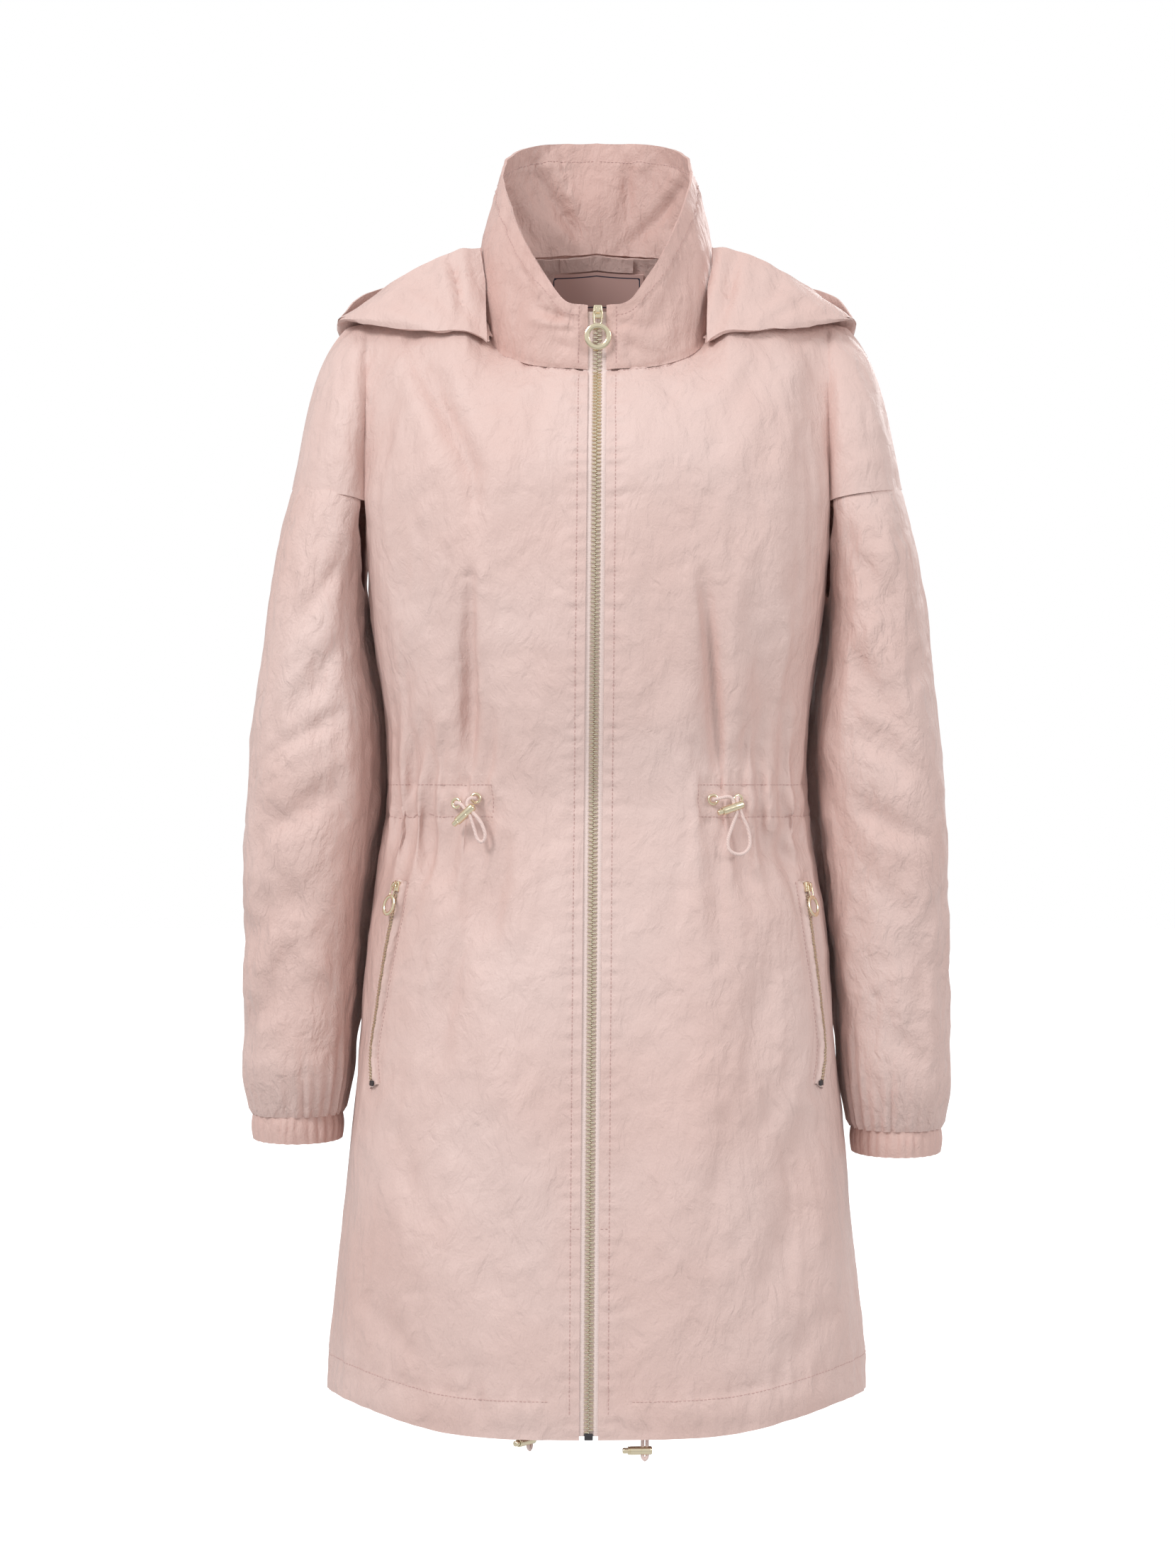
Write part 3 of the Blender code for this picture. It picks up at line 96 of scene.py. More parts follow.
class Rows:
    """A short table with named columns, read on a smooth curve through its rows."""

    def __init__(self, columns: str, *rows: tuple[float, ...]) -> None:
        """Keeps each column as an array.

        Args:
            columns: The columns' names, in one string.
            *rows: One tuple of numbers for each row.
        """
        self.data = {name: np.array([row[i] for row in rows], float) for i, name in enumerate(columns.split())}

    def __getitem__(self, name: str) -> np.ndarray:
        """One column."""
        return self.data[name]

    def scaled(self, factor: float, *names: str) -> "Rows":
        """A copy with the named columns multiplied."""
        made = Rows("")
        made.data = {name: column * factor if name in names else column for name, column in self.data.items()}
        return made

    def read(self, key: str, at: Number, name: str) -> np.ndarray:
        """Reads one column where another column has the given values.

        Args:
            key: The column that rises from row to row.
            at: Values of the key column.
            name: The column to read.

        Returns:
            The read values, in the shape of at.
        """
        places, values = self.data[key], self.data[name]
        slopes = np.gradient(values, places)
        at = np.asarray(at, float)
        i = np.clip(np.searchsorted(places, at) - 1, 0, len(places) - 2)
        step = places[i + 1] - places[i]
        share = np.clip((at - places[i]) / step, 0, 1)
        return hermite(values[i], slopes[i] * step, values[i + 1], slopes[i + 1] * step, share)


TORSO = Rows(
    "drop width front back",
    (0.190, 0.178, 0.119, 0.112),
    (0.240, 0.172, 0.123, 0.113),
    (0.300, 0.165, 0.122, 0.108),
    (0.342, 0.159, 0.118, 0.101),
    (0.411, 0.157, 0.108, 0.094),
    (0.460, 0.1635, 0.115, 0.105),
    (0.505, 0.1700, 0.122, 0.114),
    (0.594, 0.1765, 0.133, 0.127),
    (0.640, 0.1815, 0.138, 0.133),
    (0.724, 0.1900, 0.146, 0.141),
    (0.808, 0.1985, 0.152, 0.148),
    (0.850, 0.2005, 0.153, 0.150),
)
HEM = Rows(
    "angle drop",
    (0, 0.8565),
    (25, 0.8545),
    (45, 0.8460),
    (65, 0.8410),
    (90, 0.8450),
    (135, 0.8500),
    (180, 0.8520),
)
NECK = Rows(
    "angle z",
    (0, -0.0990),
    (30, -0.0940),
    (55, -0.0790),
    (90, -0.0300),
    (125, -0.0040),
    (180, 0.0090),
)
COLLAR_TOP = Rows(
    "angle z",
    (0, -0.0520),
    (15, -0.0480),
    (27, -0.0300),
    (40, -0.0095),
    (73, 0.0420),
    (105, 0.0730),
    (140, 0.0910),
    (180, 0.0960),
)
SLEEVE = Rows(
    "drop inner outer middle deep",
    (0.178, 0.1815, 0.2285, 0.004, 0.064),
    (0.215, 0.1785, 0.2370, 0.004, 0.067),
    (0.262, 0.1755, 0.2435, 0.004, 0.069),
    (0.300, 0.1705, 0.2478, 0.004, 0.070),
    (0.342, 0.1645, 0.2525, 0.003, 0.070),
    (0.4055, 0.1635, 0.2590, 0.002, 0.069),
    (0.448, 0.1690, 0.2620, 0.001, 0.067),
    (0.490, 0.1745, 0.2635, 0.000, 0.064),
    (0.5325, 0.1785, 0.2640, 0.000, 0.060),
    (0.575, 0.1825, 0.2630, 0.000, 0.055),
    (0.617, 0.1875, 0.2600, 0.000, 0.047),
    (0.642, 0.1900, 0.2570, 0.000, 0.0385),
)
DRIFT = Rows("drop shift", (0.05, 0.0005), (0.41, -0.0030), (0.78, -0.0060), (0.86, -0.0065))
FRONT_FOLDS = Rows(
    "side x_top drop_top x_bottom drop_bottom half_width depth",
    (-1, 132, 70, 88, 180, 12, -7.6),
    (-1, 92, 270, 90, 395, 11, -9.3),
    (-1, 76, 425, 76, 520, 14, -7.6),
    (-1, 112, 425, 108, 470, 10, -5.9),
    (-1, 140, 640, 120, 760, 22, 5.9),
    (-1, 60, 560, 50, 720, 24, 5.1),
    (1, 74, 270, 86, 400, 11, -9.3),
    (1, 120, 300, 124, 395, 12, -5.9),
    (1, 120, 425, 142, 465, 10, -7.6),
    (1, 158, 630, 134, 690, 16, -5.9),
    (1, 70, 560, 80, 740, 24, 5.9),
).scaled(MM, *PANEL_KEYS, "half_width", "depth")
BACK_FOLDS = Rows(
    "side x_top drop_top x_bottom drop_bottom half_width depth",
    (-1, 70, 300, 64, 395, 13, -8.5),
    (1, 52, 280, 60, 395, 12, -8.5),
    (-1, 60, 430, 74, 560, 15, -7.6),
    (1, 80, 430, 70, 540, 13, -6.8),
    (-1, 110, 580, 120, 760, 24, 5.9),
    (1, 30, 600, 40, 780, 26, 5.9),
).scaled(MM, *PANEL_KEYS, "half_width", "depth")
# Creases too small for the solids: on the fronts and, alike, on the back
FRONT_CREASES = Rows(
    "side x_top drop_top x_bottom drop_bottom half_width depth",
    (-1, 110, 360, 114, 398, 6, -3),
    (-1, 128, 350, 134, 398, 7, -3.5),
    (-1, 76, 350, 79, 398, 6, -2.4),
    (-1, 143, 410, 142, 455, 7, -3.4),
    (-1, 126, 412, 124, 462, 7, -3.6),
    (-1, 96, 425, 92, 500, 9, -2.6),
    (-1, 93, 485, 118, 580, 13, -3),
    (-1, 120, 255, 112, 330, 12, -2.2),
    (-1, 132, 300, 146, 360, 10, -2.6),
    (-1, 152, 640, 118, 715, 13, -3),
    (-1, 164, 770, 128, 806, 10, -2),
    (-1, 86, 810, 82, 850, 7, -1.3),
    (-1, 140, 812, 128, 842, 8, -1.3),
    (-1, 46, 95, 70, 128, 6, -1.6),
    (-1, 30, 100, 50, 150, 7, -1.3),
    (-1, 150, 95, 160, 175, 10, -2.4),
    (-1, 138, 78, 90, 172, 7, -3),
    (-1, 90, 172, 89, 205, 6, -2),
    (-1, 90, 250, 92.5, 440, 5, -4.6),
    (-1, 84, 240, 86, 330, 7, 1.8),
    (-1, 64, 430, 74, 500, 7, -2.4),
    (-1, 104, 520, 118, 610, 10, -2.4),
    (-1, 74, 640, 70, 760, 12, -2.2),
    (-1, 34, 350, 38, 520, 12, -1.6),
    (-1, 104, 680, 96, 790, 13, 2),
    (-1, 60, 220, 52, 330, 13, -1.4),
    (1, 108, 350, 108, 398, 6, -3),
    (1, 136, 345, 140, 398, 7, -3.4),
    (1, 70, 360, 72, 398, 6, -2),
    (1, 104, 420, 112, 480, 8, -2.4),
    (1, 134, 412, 152, 446, 7, -3.6),
    (1, 86, 430, 90, 520, 10, -2.6),
    (1, 124, 520, 112, 600, 14, -2.6),
    (1, 150, 690, 120, 760, 13, -2.6),
    (1, 112, 250, 116, 330, 12, -2.4),
    (1, 152, 290, 140, 350, 10, -2.6),
    (1, 160, 90, 150, 180, 10, -2.4),
    (1, 120, 85, 90, 150, 11, -2),
    (1, 100, 812, 108, 846, 8, -1.3),
    (1, 160, 780, 130, 812, 10, -2),
    (1, 44, 98, 62, 132, 6, -1.4),
    (1, 76, 250, 91, 436, 5, -4.6),
    (1, 68, 250, 78, 340, 8, 1.8),
    (1, 130, 440, 150, 462, 6, -2.4),
    (1, 60, 420, 52, 520, 10, -1.8),
    (1, 36, 240, 42, 360, 12, -1.4),
    (1, 98, 620, 80, 720, 12, -2.4),
    (1, 140, 600, 112, 660, 10, -2.2),
    (1, 48, 640, 60, 780, 13, 2),
    (1, 126, 130, 104, 220, 10, -1.8),
).scaled(MM, *PANEL_KEYS, "half_width", "depth")
SLEEVE_FOLDS = Rows(
    "side angle_top drop_top angle_bottom drop_bottom half_width depth",
    (-1, 100, 470, 20, 520, 14, -5.3),
    (-1, 90, 545, 30, 580, 12, -5.3),
    (-1, -110, 330, -30, 400, 16, -6),
    (1, 110, 225, 60, 300, 13, -6.7),
    (1, 100, 500, 30, 560, 13, -5.3),
    (1, -100, 440, -30, 480, 16, -6),
).scaled(MM, "drop_top", "drop_bottom", "half_width", "depth")
SLEEVE_CREASES = Rows(
    "side angle_top drop_top angle_bottom drop_bottom half_width depth",
    (-1, 118, 235, 70, 290, 8, -3),
    (-1, 120, 290, 80, 345, 8, -3.6),
    (-1, 115, 345, 60, 375, 8, -3.4),
    (-1, 118, 395, 50, 440, 9, -4),
    (-1, 80, 430, 30, 410, 8, -2.2),
    (-1, 95, 510, 60, 560, 8, -2.6),
    (-1, 40, 560, 20, 600, 9, -2.2),
    (-1, -60, 260, -100, 320, 10, -3.4),
    (-1, -50, 450, -100, 500, 10, -3.4),
    (-1, -30, 540, -80, 580, 9, -2.6),
    (1, 120, 300, 85, 350, 8, -3.6),
    (1, 116, 350, 60, 395, 8, -3.4),
    (1, 118, 410, 70, 440, 8, -3.6),
    (1, 70, 330, 40, 300, 8, -2),
    (1, 112, 460, 80, 500, 8, -2.8),
    (1, 60, 500, 20, 470, 9, -2),
    (1, 100, 570, 70, 600, 8, -2.4),
    (1, -60, 240, -100, 300, 10, -3.4),
    (1, -50, 370, -100, 400, 10, -3.4),
    (1, -30, 520, -80, 570, 9, -2.6),
).scaled(MM, "drop_top", "drop_bottom", "half_width", "depth")
# Folds of the collar's back, seen inside it through the open front
COLLAR_FOLDS = Rows(
    "x_top z_top x_bottom z_bottom half_width depth",
    (-48, 74, -12, 18, 7, 5.8),
    (-36, 78, -6, 34, 5, -3),
    (23, 76, 24, 38, 4.5, 4),
    (62, 56, 32, 20, 6, 5.6),
    (66, 70, 46, 40, 4.5, -3),
    (-66, 48, -52, 18, 5.5, 4.2),
    (-56, 66, -40, 40, 4.5, 2.6),
    (-20, 40, -4, 14, 4.5, 3.4),
    (-30, 30, -16, 10, 4, -2.4),
    (8, 46, 12, 16, 5, -3),
    (4, 72, 6, 50, 5, 2),
    (46, 50, 40, 22, 4, -2.6),
    (40, 74, 44, 56, 4, 2.2),
).scaled(MM, *FACE_KEYS, "half_width", "depth")
# Small pulls on the collar's front, beside the zip and at the neck seam
COLLAR_PULLS = Rows(
    "x_top z_top x_bottom z_bottom half_width depth",
    (-42, -54, -14, -64, 3, -2.8),
    (-46, -62, -20, -70, 3, 2.2),
    (-34, -68, -14, -71, 2.8, -2),
    (-30, -78, -16, -86, 3.5, -1.6),
    (16, -64, 34, -68, 3, -1.8),
    (20, -80, 38, -88, 4, -1.4),
    (60, -20, 44, -66, 6, -1.8),
    (-62, -20, -56, -66, 6, -1.8),
    (-54, -40, -30, -60, 6, -1.4),
    (18, -55, 36, -50, 4, -1.4),
    (30, -70, 56, -60, 5, -1.2),
    (-76, 0, -66, -60, 8, 1.6),
    (78, -4, 66, -60, 8, 1.6),
).scaled(MM, *FACE_KEYS, "half_width", "depth")
HOOD = Rows(
    "neck_angle fold_x fold_y fold_z rim_x rim_y rim_z bulge",
    (58, 0.0790, -0.0530, -0.0775, 0.0885, -0.0120, 0.0000, 0.001),
    (66, 0.1118, -0.0560, -0.0720, 0.1020, -0.0140, -0.0020, 0.003),
    (75, 0.1432, -0.0450, -0.0673, 0.1270, -0.0150, -0.0120, 0.003),
    (84, 0.1737, -0.0300, -0.0610, 0.1560, -0.0100, -0.0280, 0.003),
    (92, 0.1925, -0.0040, -0.0570, 0.1880, 0.0060, -0.0480, 0.001),
    (102, 0.1870, 0.0340, -0.0780, 0.1790, 0.0300, -0.0290, 0.004),
    (116, 0.1660, 0.0800, -0.1200, 0.1520, 0.0620, -0.0150, 0.010),
    (132, 0.1320, 0.1080, -0.1700, 0.1120, 0.0900, -0.0060, 0.018),
    (148, 0.0880, 0.1240, -0.2120, 0.0720, 0.1080, 0.0000, 0.022),
    (164, 0.0440, 0.1300, -0.2340, 0.0360, 0.1160, 0.0020, 0.024),
    (180, 0.0000, 0.1320, -0.2400, 0.0000, 0.1190, 0.0030, 0.024),
)
HOOD.data["step"] = np.linspace(0, 1, len(HOOD["neck_angle"]))
# Folds of the hood's front wings
HOOD_FOLDS = Rows(
    "x_top z_top x_bottom z_bottom half_width depth",
    (-115, -14, -104, -54, 4.5, -4.6),
    (-108, -10, -100, -50, 3.5, 3),
    (-100, -4, -94, -48, 4, -4.2),
    (-150, -30, -112, -58, 5.5, -3),
    (-140, -22, -124, -52, 4.5, 2),
    (-170, -44, -130, -62, 5, -1.8),
    (94, -4, 82, -66, 4.5, -5),
    (101, -8, 92, -60, 4, 2.8),
    (112, -12, 102, -58, 4.5, -3.4),
    (150, -32, 118, -60, 5.5, -3),
    (135, -20, 126, -50, 4.5, 2),
    (172, -44, 134, -62, 5, -1.8),
).scaled(MM, *FACE_KEYS, "half_width", "depth")
POCKET_LINES = {
    Side.RIGHT: Rows(
        "x drop", (-0.1410, 0.468), (-0.1500, 0.512), (-0.1580, 0.562), (-0.1625, 0.600), (-0.1610, 0.617)
    ),
    Side.LEFT: Rows(
        "x drop", (0.1490, 0.469), (0.1550, 0.512), (0.1612, 0.562), (0.1638, 0.592), (0.1602, 0.617)
    ),
}


def hermite(start: Number, start_slope: Number, end: Number, end_slope: Number, share: Number) -> Number:
    """A cubic between two values with the given slopes."""
    s2, s3 = share**2, share**3
    return (
        (2 * s3 - 3 * s2 + 1) * start
        + (s3 - 2 * s2 + share) * start_slope
        + (3 * s2 - 2 * s3) * end
        + (s3 - s2) * end_slope
    )


def mix(low: Number, high: Number, share: Number) -> Number:
    """A value between two others."""
    return low + (high - low) * share


def bell(distance: Number, half_width: float) -> Number:
    """A smooth hump of height one."""
    return np.exp(-((distance / half_width) ** 2))


def ramp(value: Number, low: float, high: float) -> Number:
    """A smooth step from 0 at low to 1 at high."""
    share = np.clip((value - low) / (high - low), 0, 1)
    return share * share * (3 - 2 * share)


def unit(vectors: np.ndarray) -> np.ndarray:
    """Vectors scaled to length one."""
    return vectors / np.maximum(np.linalg.norm(vectors, axis=-1, keepdims=True), 1e-12)


def stacked(*parts: np.ndarray) -> np.ndarray:
    """Arrays of coordinates joined into points."""
    return np.stack(np.broadcast_arrays(*parts), axis=-1)


def along_line(points: np.ndarray) -> np.ndarray:
    """Each point's distance from the first, along the line."""
    return np.concatenate([[0], np.cumsum(np.linalg.norm(np.diff(points, axis=0), axis=1))])


def on_line(points: np.ndarray, along: np.ndarray, at: float) -> Vector:
    """The line's point at a distance from its start."""
    return Vector([np.interp(at, along, points[:, axis]) for axis in range(3)])


def flat_sizes(grid: np.ndarray) -> tuple[np.ndarray, np.ndarray]:
    """Mean distances across and down a grid of points, from its first one."""
    across = np.linalg.norm(np.diff(grid, axis=1), axis=-1).mean(axis=0)
    down = np.linalg.norm(np.diff(grid, axis=0), axis=-1).mean(axis=1)
    return np.concatenate([[0], np.cumsum(across)]), np.concatenate([[0], np.cumsum(down)])


def fold_lift(folds: Rows, keys: tuple[str, ...], first: Number, second: Number, side: int | None = None) -> np.ndarray:
    """How far the folds of one table raise the cloth.

    Args:
        folds: A table of folds with a half_width and a depth column.
        keys: The columns of each fold's two ends: first and second coordinate of the top, then of the bottom.
        first: The first coordinate of each place.
        second: The second coordinate of each place.
        side: The sign of X, where the table has a side column.

    Returns:
        The lift at each place, negative in a trough.
    """
    lift = np.zeros(np.broadcast(first, second).shape)
    for i in range(len(folds["depth"])):
        if side is not None and folds["side"][i] != side:
            continue
        top = np.array((folds[keys[0]][i], folds[keys[1]][i]))
        run = np.array((folds[keys[2]][i], folds[keys[3]][i])) - top
        along = np.clip(((first - top[0]) * run[0] + (second - top[1]) * run[1]) / (run @ run), 0, 1)
        away = np.hypot(first - top[0] - along * run[0], second - top[1] - along * run[1])
        taper = 0.35 + 0.65 * np.sin(math.pi * np.clip(along, 0.02, 0.98))
        lift += folds["depth"][i] * taper * bell(away, folds["half_width"][i])
    return lift


class TorsoForm:
    """The body's cloth as functions of an angle round it and a drop, for the wearer's left or right."""

    front_columns = 14
    back_columns = 12
    neck_front_share = 8 / 14
    neck_back_share = 7 / 12
    shoulder_crease = np.array((0.170, 0.0, -0.0525))
    shoulder_end = np.array((0.187, 0.0, -0.057))
    overarm = np.array((0.2278, 0.0, -OVERARM_DROP))
    crease_dent = 4 * MM
    gather_depth = 3.6 * MM
    gather_reach = 0.050
    hem_swell = 1.6 * MM
    collar_half = 0.0715
    collar_front = 0.0785
    collar_back = 0.0740
    collar_bow = 3 * MM

    def gathers(self, column: Number, x: Number, drop: Number, from_x: Number) -> np.ndarray:
        """Ridges and valleys that the waist channel draws the cloth into."""
        near_waist = bell(drop - WAIST_DROP - 0.006, self.gather_reach)
        uneven = 0.75 + 0.25 * np.sin(column * 2.3)
        start = ramp(x, from_x - 0.006, from_x + 0.006)
        return self.gather_depth * uneven * near_waist * np.cos(math.pi * column) * start

    def low(self, side: int, angle: Number, drop: Number, gathered: bool = True) -> np.ndarray:
        """Points of the body below the arms.

        Args:
            side: The sign of X.
            angle: Degrees from the centre front to the centre back.
            drop: Distance below the back neck seam.
            gathered: Whether the waist gathers show there.

        Returns:
            One point for each angle and drop.
        """
        angle, drop = np.broadcast_arrays(np.asarray(angle, float), np.asarray(drop, float))
        width, front, back = (TORSO.read("drop", drop, name) for name in ("width", "front", "back"))
        turn = np.radians(angle)
        on_front = angle < 90
        deep = np.where(on_front, front, back)
        way = np.where(on_front, -1.0, 1.0)
        x = width * np.abs(np.sin(turn)) ** ROUNDNESS
        y = np.where(np.abs(angle - 90) < 0.01, 0.0, way * deep * np.abs(np.cos(turn)) ** ROUNDNESS)
        outward = unit(stacked(x / width**2, y / deep**2, np.zeros_like(x)))
        lift = self.hem_swell * np.sin(math.pi * np.clip((drop - STITCH_DROP) / (HEM_DROP - STITCH_DROP), 0, 1))
        for folds, where in ((FRONT_FOLDS, on_front), (BACK_FOLDS, ~on_front)):
            lift = lift + np.where(where, fold_lift(folds, PANEL_KEYS, x, drop, side), 0.0)
        if gathered:
            column = np.where(on_front, angle * self.front_columns, (180 - angle) * self.back_columns) / CREASE_ANGLE
            lift = lift + self.gathers(column, x, drop, np.where(on_front, CHANNEL_START, -1.0))
        calm = np.minimum((angle - 90) ** 2 / 28.0**2, 1.0)
        calm = calm * np.where(on_front, np.minimum(x / 0.03, 1.0), 1.0)
        shown = np.where(on_front, ZIP_EDGE + x * (1 - ZIP_EDGE / width), x)
        place = stacked(shown, y, -drop) + outward * (lift * calm)[..., None]
        drift = DRIFT.read("drop", drop, "shift") * np.maximum(0.0, 1 - np.abs(shown) / width)
        place[..., 0] = place[..., 0] * side + drift
        return place

    def neck(self, side: int, angle: Number) -> np.ndarray:
        """Points of the neck seam, by degrees from the centre front to the centre back."""
        angle = np.asarray(angle, float)
        turn = np.radians(angle)
        x = NECK_HALF * np.sin(turn)
        x = np.where(angle < 90, ZIP_EDGE + x * (1 - ZIP_EDGE / NECK_HALF), x)
        y = -np.where(angle < 90, NECK_FRONT, NECK_BACK) * np.cos(turn)
        y = np.where(np.abs(angle - 90) < 0.01, 0.0, y)
        return stacked(x * side, y, NECK.read("angle", angle, "z"))

    def cap_edge(self, is_front: bool, out: Number) -> np.ndarray:
        """The dropped shoulder's lower edge, from the crease to the overarm line, for the wearer's left."""
        out = np.asarray(out, float)[..., None]
        angle = CREASE_ANGLE if is_front else 180 - CREASE_ANGLE
        start = self.low(1, angle, ARM_DROP, gathered=False)
        way = -1 if is_front else 1
        first = np.array((0.180, 0.066 * way, 0))
        second = np.array((self.overarm[0], 0.054 * way, 0))
        back = 1 - out
        place = start * back**3 + first * 3 * back**2 * out + second * 3 * back * out**2 + self.overarm * out**3
        place[..., 2] = -mix(ARM_DROP, OVERARM_DROP, out[..., 0])
        place[..., 1] = np.where(out[..., 0] > 0.999, 0.0, place[..., 1])
        return place

    def top_edge(self, is_front: bool, across: Number) -> np.ndarray:
        """The neck seam and then the shoulder seam, for the wearer's left."""
        across = np.asarray(across, float)
        neck_share = self.neck_front_share if is_front else self.neck_back_share
        angle = 90 * np.clip(across / neck_share, 0, 1)
        neck = self.neck(1, angle if is_front else 180 - angle)
        start = self.neck(1, 90.0)
        share = np.clip((across - neck_share) / (1 - neck_share), 0, 1)[..., None]
        shoulder = mix(start, self.shoulder_crease, share)
        shoulder[..., 2] += 4 * MM * np.sin(math.pi * share[..., 0])
        end = mix(self.shoulder_crease, self.shoulder_end, np.clip(across - 1, 0, 1)[..., None])
        place = np.where((across <= neck_share + 1e-6)[..., None], neck, shoulder)
        return np.where((across > 1)[..., None], end, place)

    def high(self, side: int, is_front: bool, across: np.ndarray, rise: np.ndarray) -> np.ndarray:
        """Points above the arm level.

        Args:
            side: The sign of X.
            is_front: Front or back.
            across: 0 at the centre, 1 at the sleeve's crease and 2 on the overarm line.
            rise: 0 at the arm level and 1 at the top seam.

        Returns:
            Points in rows of one rise and columns of one across.
        """
        way = 1 if is_front else -1
        angle = np.clip(across, 0, 1) * CREASE_ANGLE
        low = self.low(side, angle if is_front else 180 - angle, ARM_DROP)
        low[..., 0] *= side
        out = np.maximum(across - 1, 0.0)
        low = np.where((across <= 1)[..., None], low, self.cap_edge(is_front, out))
        high = self.top_edge(is_front, across)
        length = np.linalg.norm(high - low, axis=-1, keepdims=True)
        low_slope = unit(stacked(-0.25 * out, 0.0, 1.0))
        inner = np.array((0, 0.58 * way, 0.81) if is_front else (0, -0.42, 0.90))
        shoulder = np.array((0, 0.96 * way, 0.28))
        high_slope = mix(inner, shoulder, np.clip(across / 0.6, 0, 1)[..., None])
        high_slope = unit(mix(high_slope, np.array((-0.70, 0, 0.70)), out[..., None]))
        share = rise[:, None, None]
        place = hermite(low, low_slope * length, high, high_slope * length, share)
        middle = 4 * rise[:, None] * (1 - rise[:, None])
        near_crease = bell((across - 1) * self.front_columns, 1.6)
        lift = 0.0
        if is_front:
            lift = fold_lift(FRONT_FOLDS, PANEL_KEYS, place[..., 0], -place[..., 2], side)
        place[..., 1] -= way * (lift * np.minimum(middle * 2, 1.0) - self.crease_dent * middle * near_crease)
        place[..., 1] = np.where(out > 0.999, 0.0, place[..., 1])
        place[..., 0] *= side
        return place

    def side_drop(self, angle: Number) -> np.ndarray:
        """The top of the underarm side, between the crease and the side seam."""
        share = 1 - np.abs(angle - 90) / (90 - CREASE_ANGLE)
        return mix(ARM_DROP, ARMPIT_DROP, np.sin(math.pi / 2 * share))

    def row_drop(self, angle: Number, drop: Number) -> np.ndarray:
        """A row's real drop: shaped to the armhole at the top and to the hem at the bottom."""
        angle, drop = np.broadcast_arrays(np.asarray(angle, float), np.asarray(drop, float))
        under_arm = (np.abs(angle - 90) < 90 - CREASE_ANGLE - 1e-6) & (drop < SIDE_ROW_DROP)
        share = (drop - ARM_DROP) / (SIDE_ROW_DROP - ARM_DROP)
        lowered = mix(self.side_drop(angle), SIDE_ROW_DROP, share)
        down = np.clip((drop - 0.6) / (HEM_DROP - 0.6), 0, 1)
        hemmed = drop + (HEM.read("angle", angle, "drop") - HEM_DROP) * down
        return np.where(under_arm, lowered, hemmed)

    def collar(self, side: int, angle: Number, rise: Number) -> np.ndarray:
        """Points of the stand collar's outer face, from its seam to its top edge."""
        angle, rise = np.broadcast_arrays(np.asarray(angle, float), np.asarray(rise, float))
        base = self.neck(side, angle)
        base[..., 2] += 1.5 * SEAM
        turn = np.radians(angle)
        x = self.collar_half * np.sin(turn)
        x = np.where(angle < 90, ZIP_EDGE + x * (1 - ZIP_EDGE / self.collar_half), x)
        y = -np.where(angle < 90, self.collar_front, self.collar_back) * np.cos(turn)
        top = stacked(x * side, y, COLLAR_TOP.read("angle", angle, "z"))
        bow = self.collar_bow * np.sin(math.pi * rise) * np.sin(turn)
        outward = stacked(np.sin(turn) * side, -np.cos(turn), 0.0)
        return mix(base, top, rise[..., None]) + outward * bow[..., None]


FORM = TorsoForm()


class Relief:
    """Small uneven relief of light nylon: soft drapes, crinkles and puckers beside stitched lines."""

    drape_height = 2.9 * MM
    crinkle_height = 1.05 * MM
    streak_height = 1.0 * MM
    pucker_height = 1.2 * MM
    crease_gain = 1.6

    def crinkles(self, places: np.ndarray, vertical: float = 1.0) -> np.ndarray:
        """Relief that runs over a whole piece, worked out from each place in space.

        Args:
            places: Points of the cloth.
            vertical: How far drapes are drawn out along Z.

        Returns:
            A height for each point.
        """
        height = np.empty(len(places))
        for i, place in enumerate(places):
            x, y, z = place
            wide = noise.noise(Vector((x * 17, y * 17, z * 5.5 / vertical + 3)))
            slant = noise.noise(Vector((x * 30 + z * 12, y * 30, z * 17 + 11)))
            fine = noise.noise(Vector((x * 75, y * 75, z * 46 + 7)))
            ridge = 1 - 2 * abs(noise.noise(Vector((x * 40 - z * 20, y * 40, z * 30))))
            streak = noise.noise(Vector((x * 95 + slant * 0.9, y * 95, z * 11 / vertical + 5)))
            patch = 0.55 + 0.45 * noise.noise(Vector((x * 9 + 4, y * 9, z * 7)))
            height[i] = (
                self.drape_height * wide
                + self.crinkle_height * (0.9 * slant + 0.4 * fine + 0.6 * ridge)
                + self.streak_height * streak * patch * 1.6
            )
        return height

    def pucker(self, along: np.ndarray, away: np.ndarray, reach: float, pitch: float) -> np.ndarray:
        """Short waves across a stitched line, and the shallow valley that its thread pulls.

        Args:
            along: Distance along the line.
            away: Distance from it.
            reach: How far from the line the waves fade out.
            pitch: Length of a wave.

        Returns:
            A height for each pair of distances.
        """
        wave = np.sin(2 * math.pi * along / pitch + 1.7 * np.sin(along * 37)) + 0.5 * np.sin(along * 800)
        valley = -0.55 * MM * bell(away, 1.6 * MM)
        return valley + self.pucker_height * wave * bell(away, reach) * 0.6


RELIEF = Relief()


@dataclass(frozen=True)
class Sockets:
    """Socket names of the shared shader groups."""

    coordinates: str = "Coordinates"
    pitch: str = "Pitch"
    tone: str = "Tone"
    height: str = "Height"


SOCKETS = Sockets()


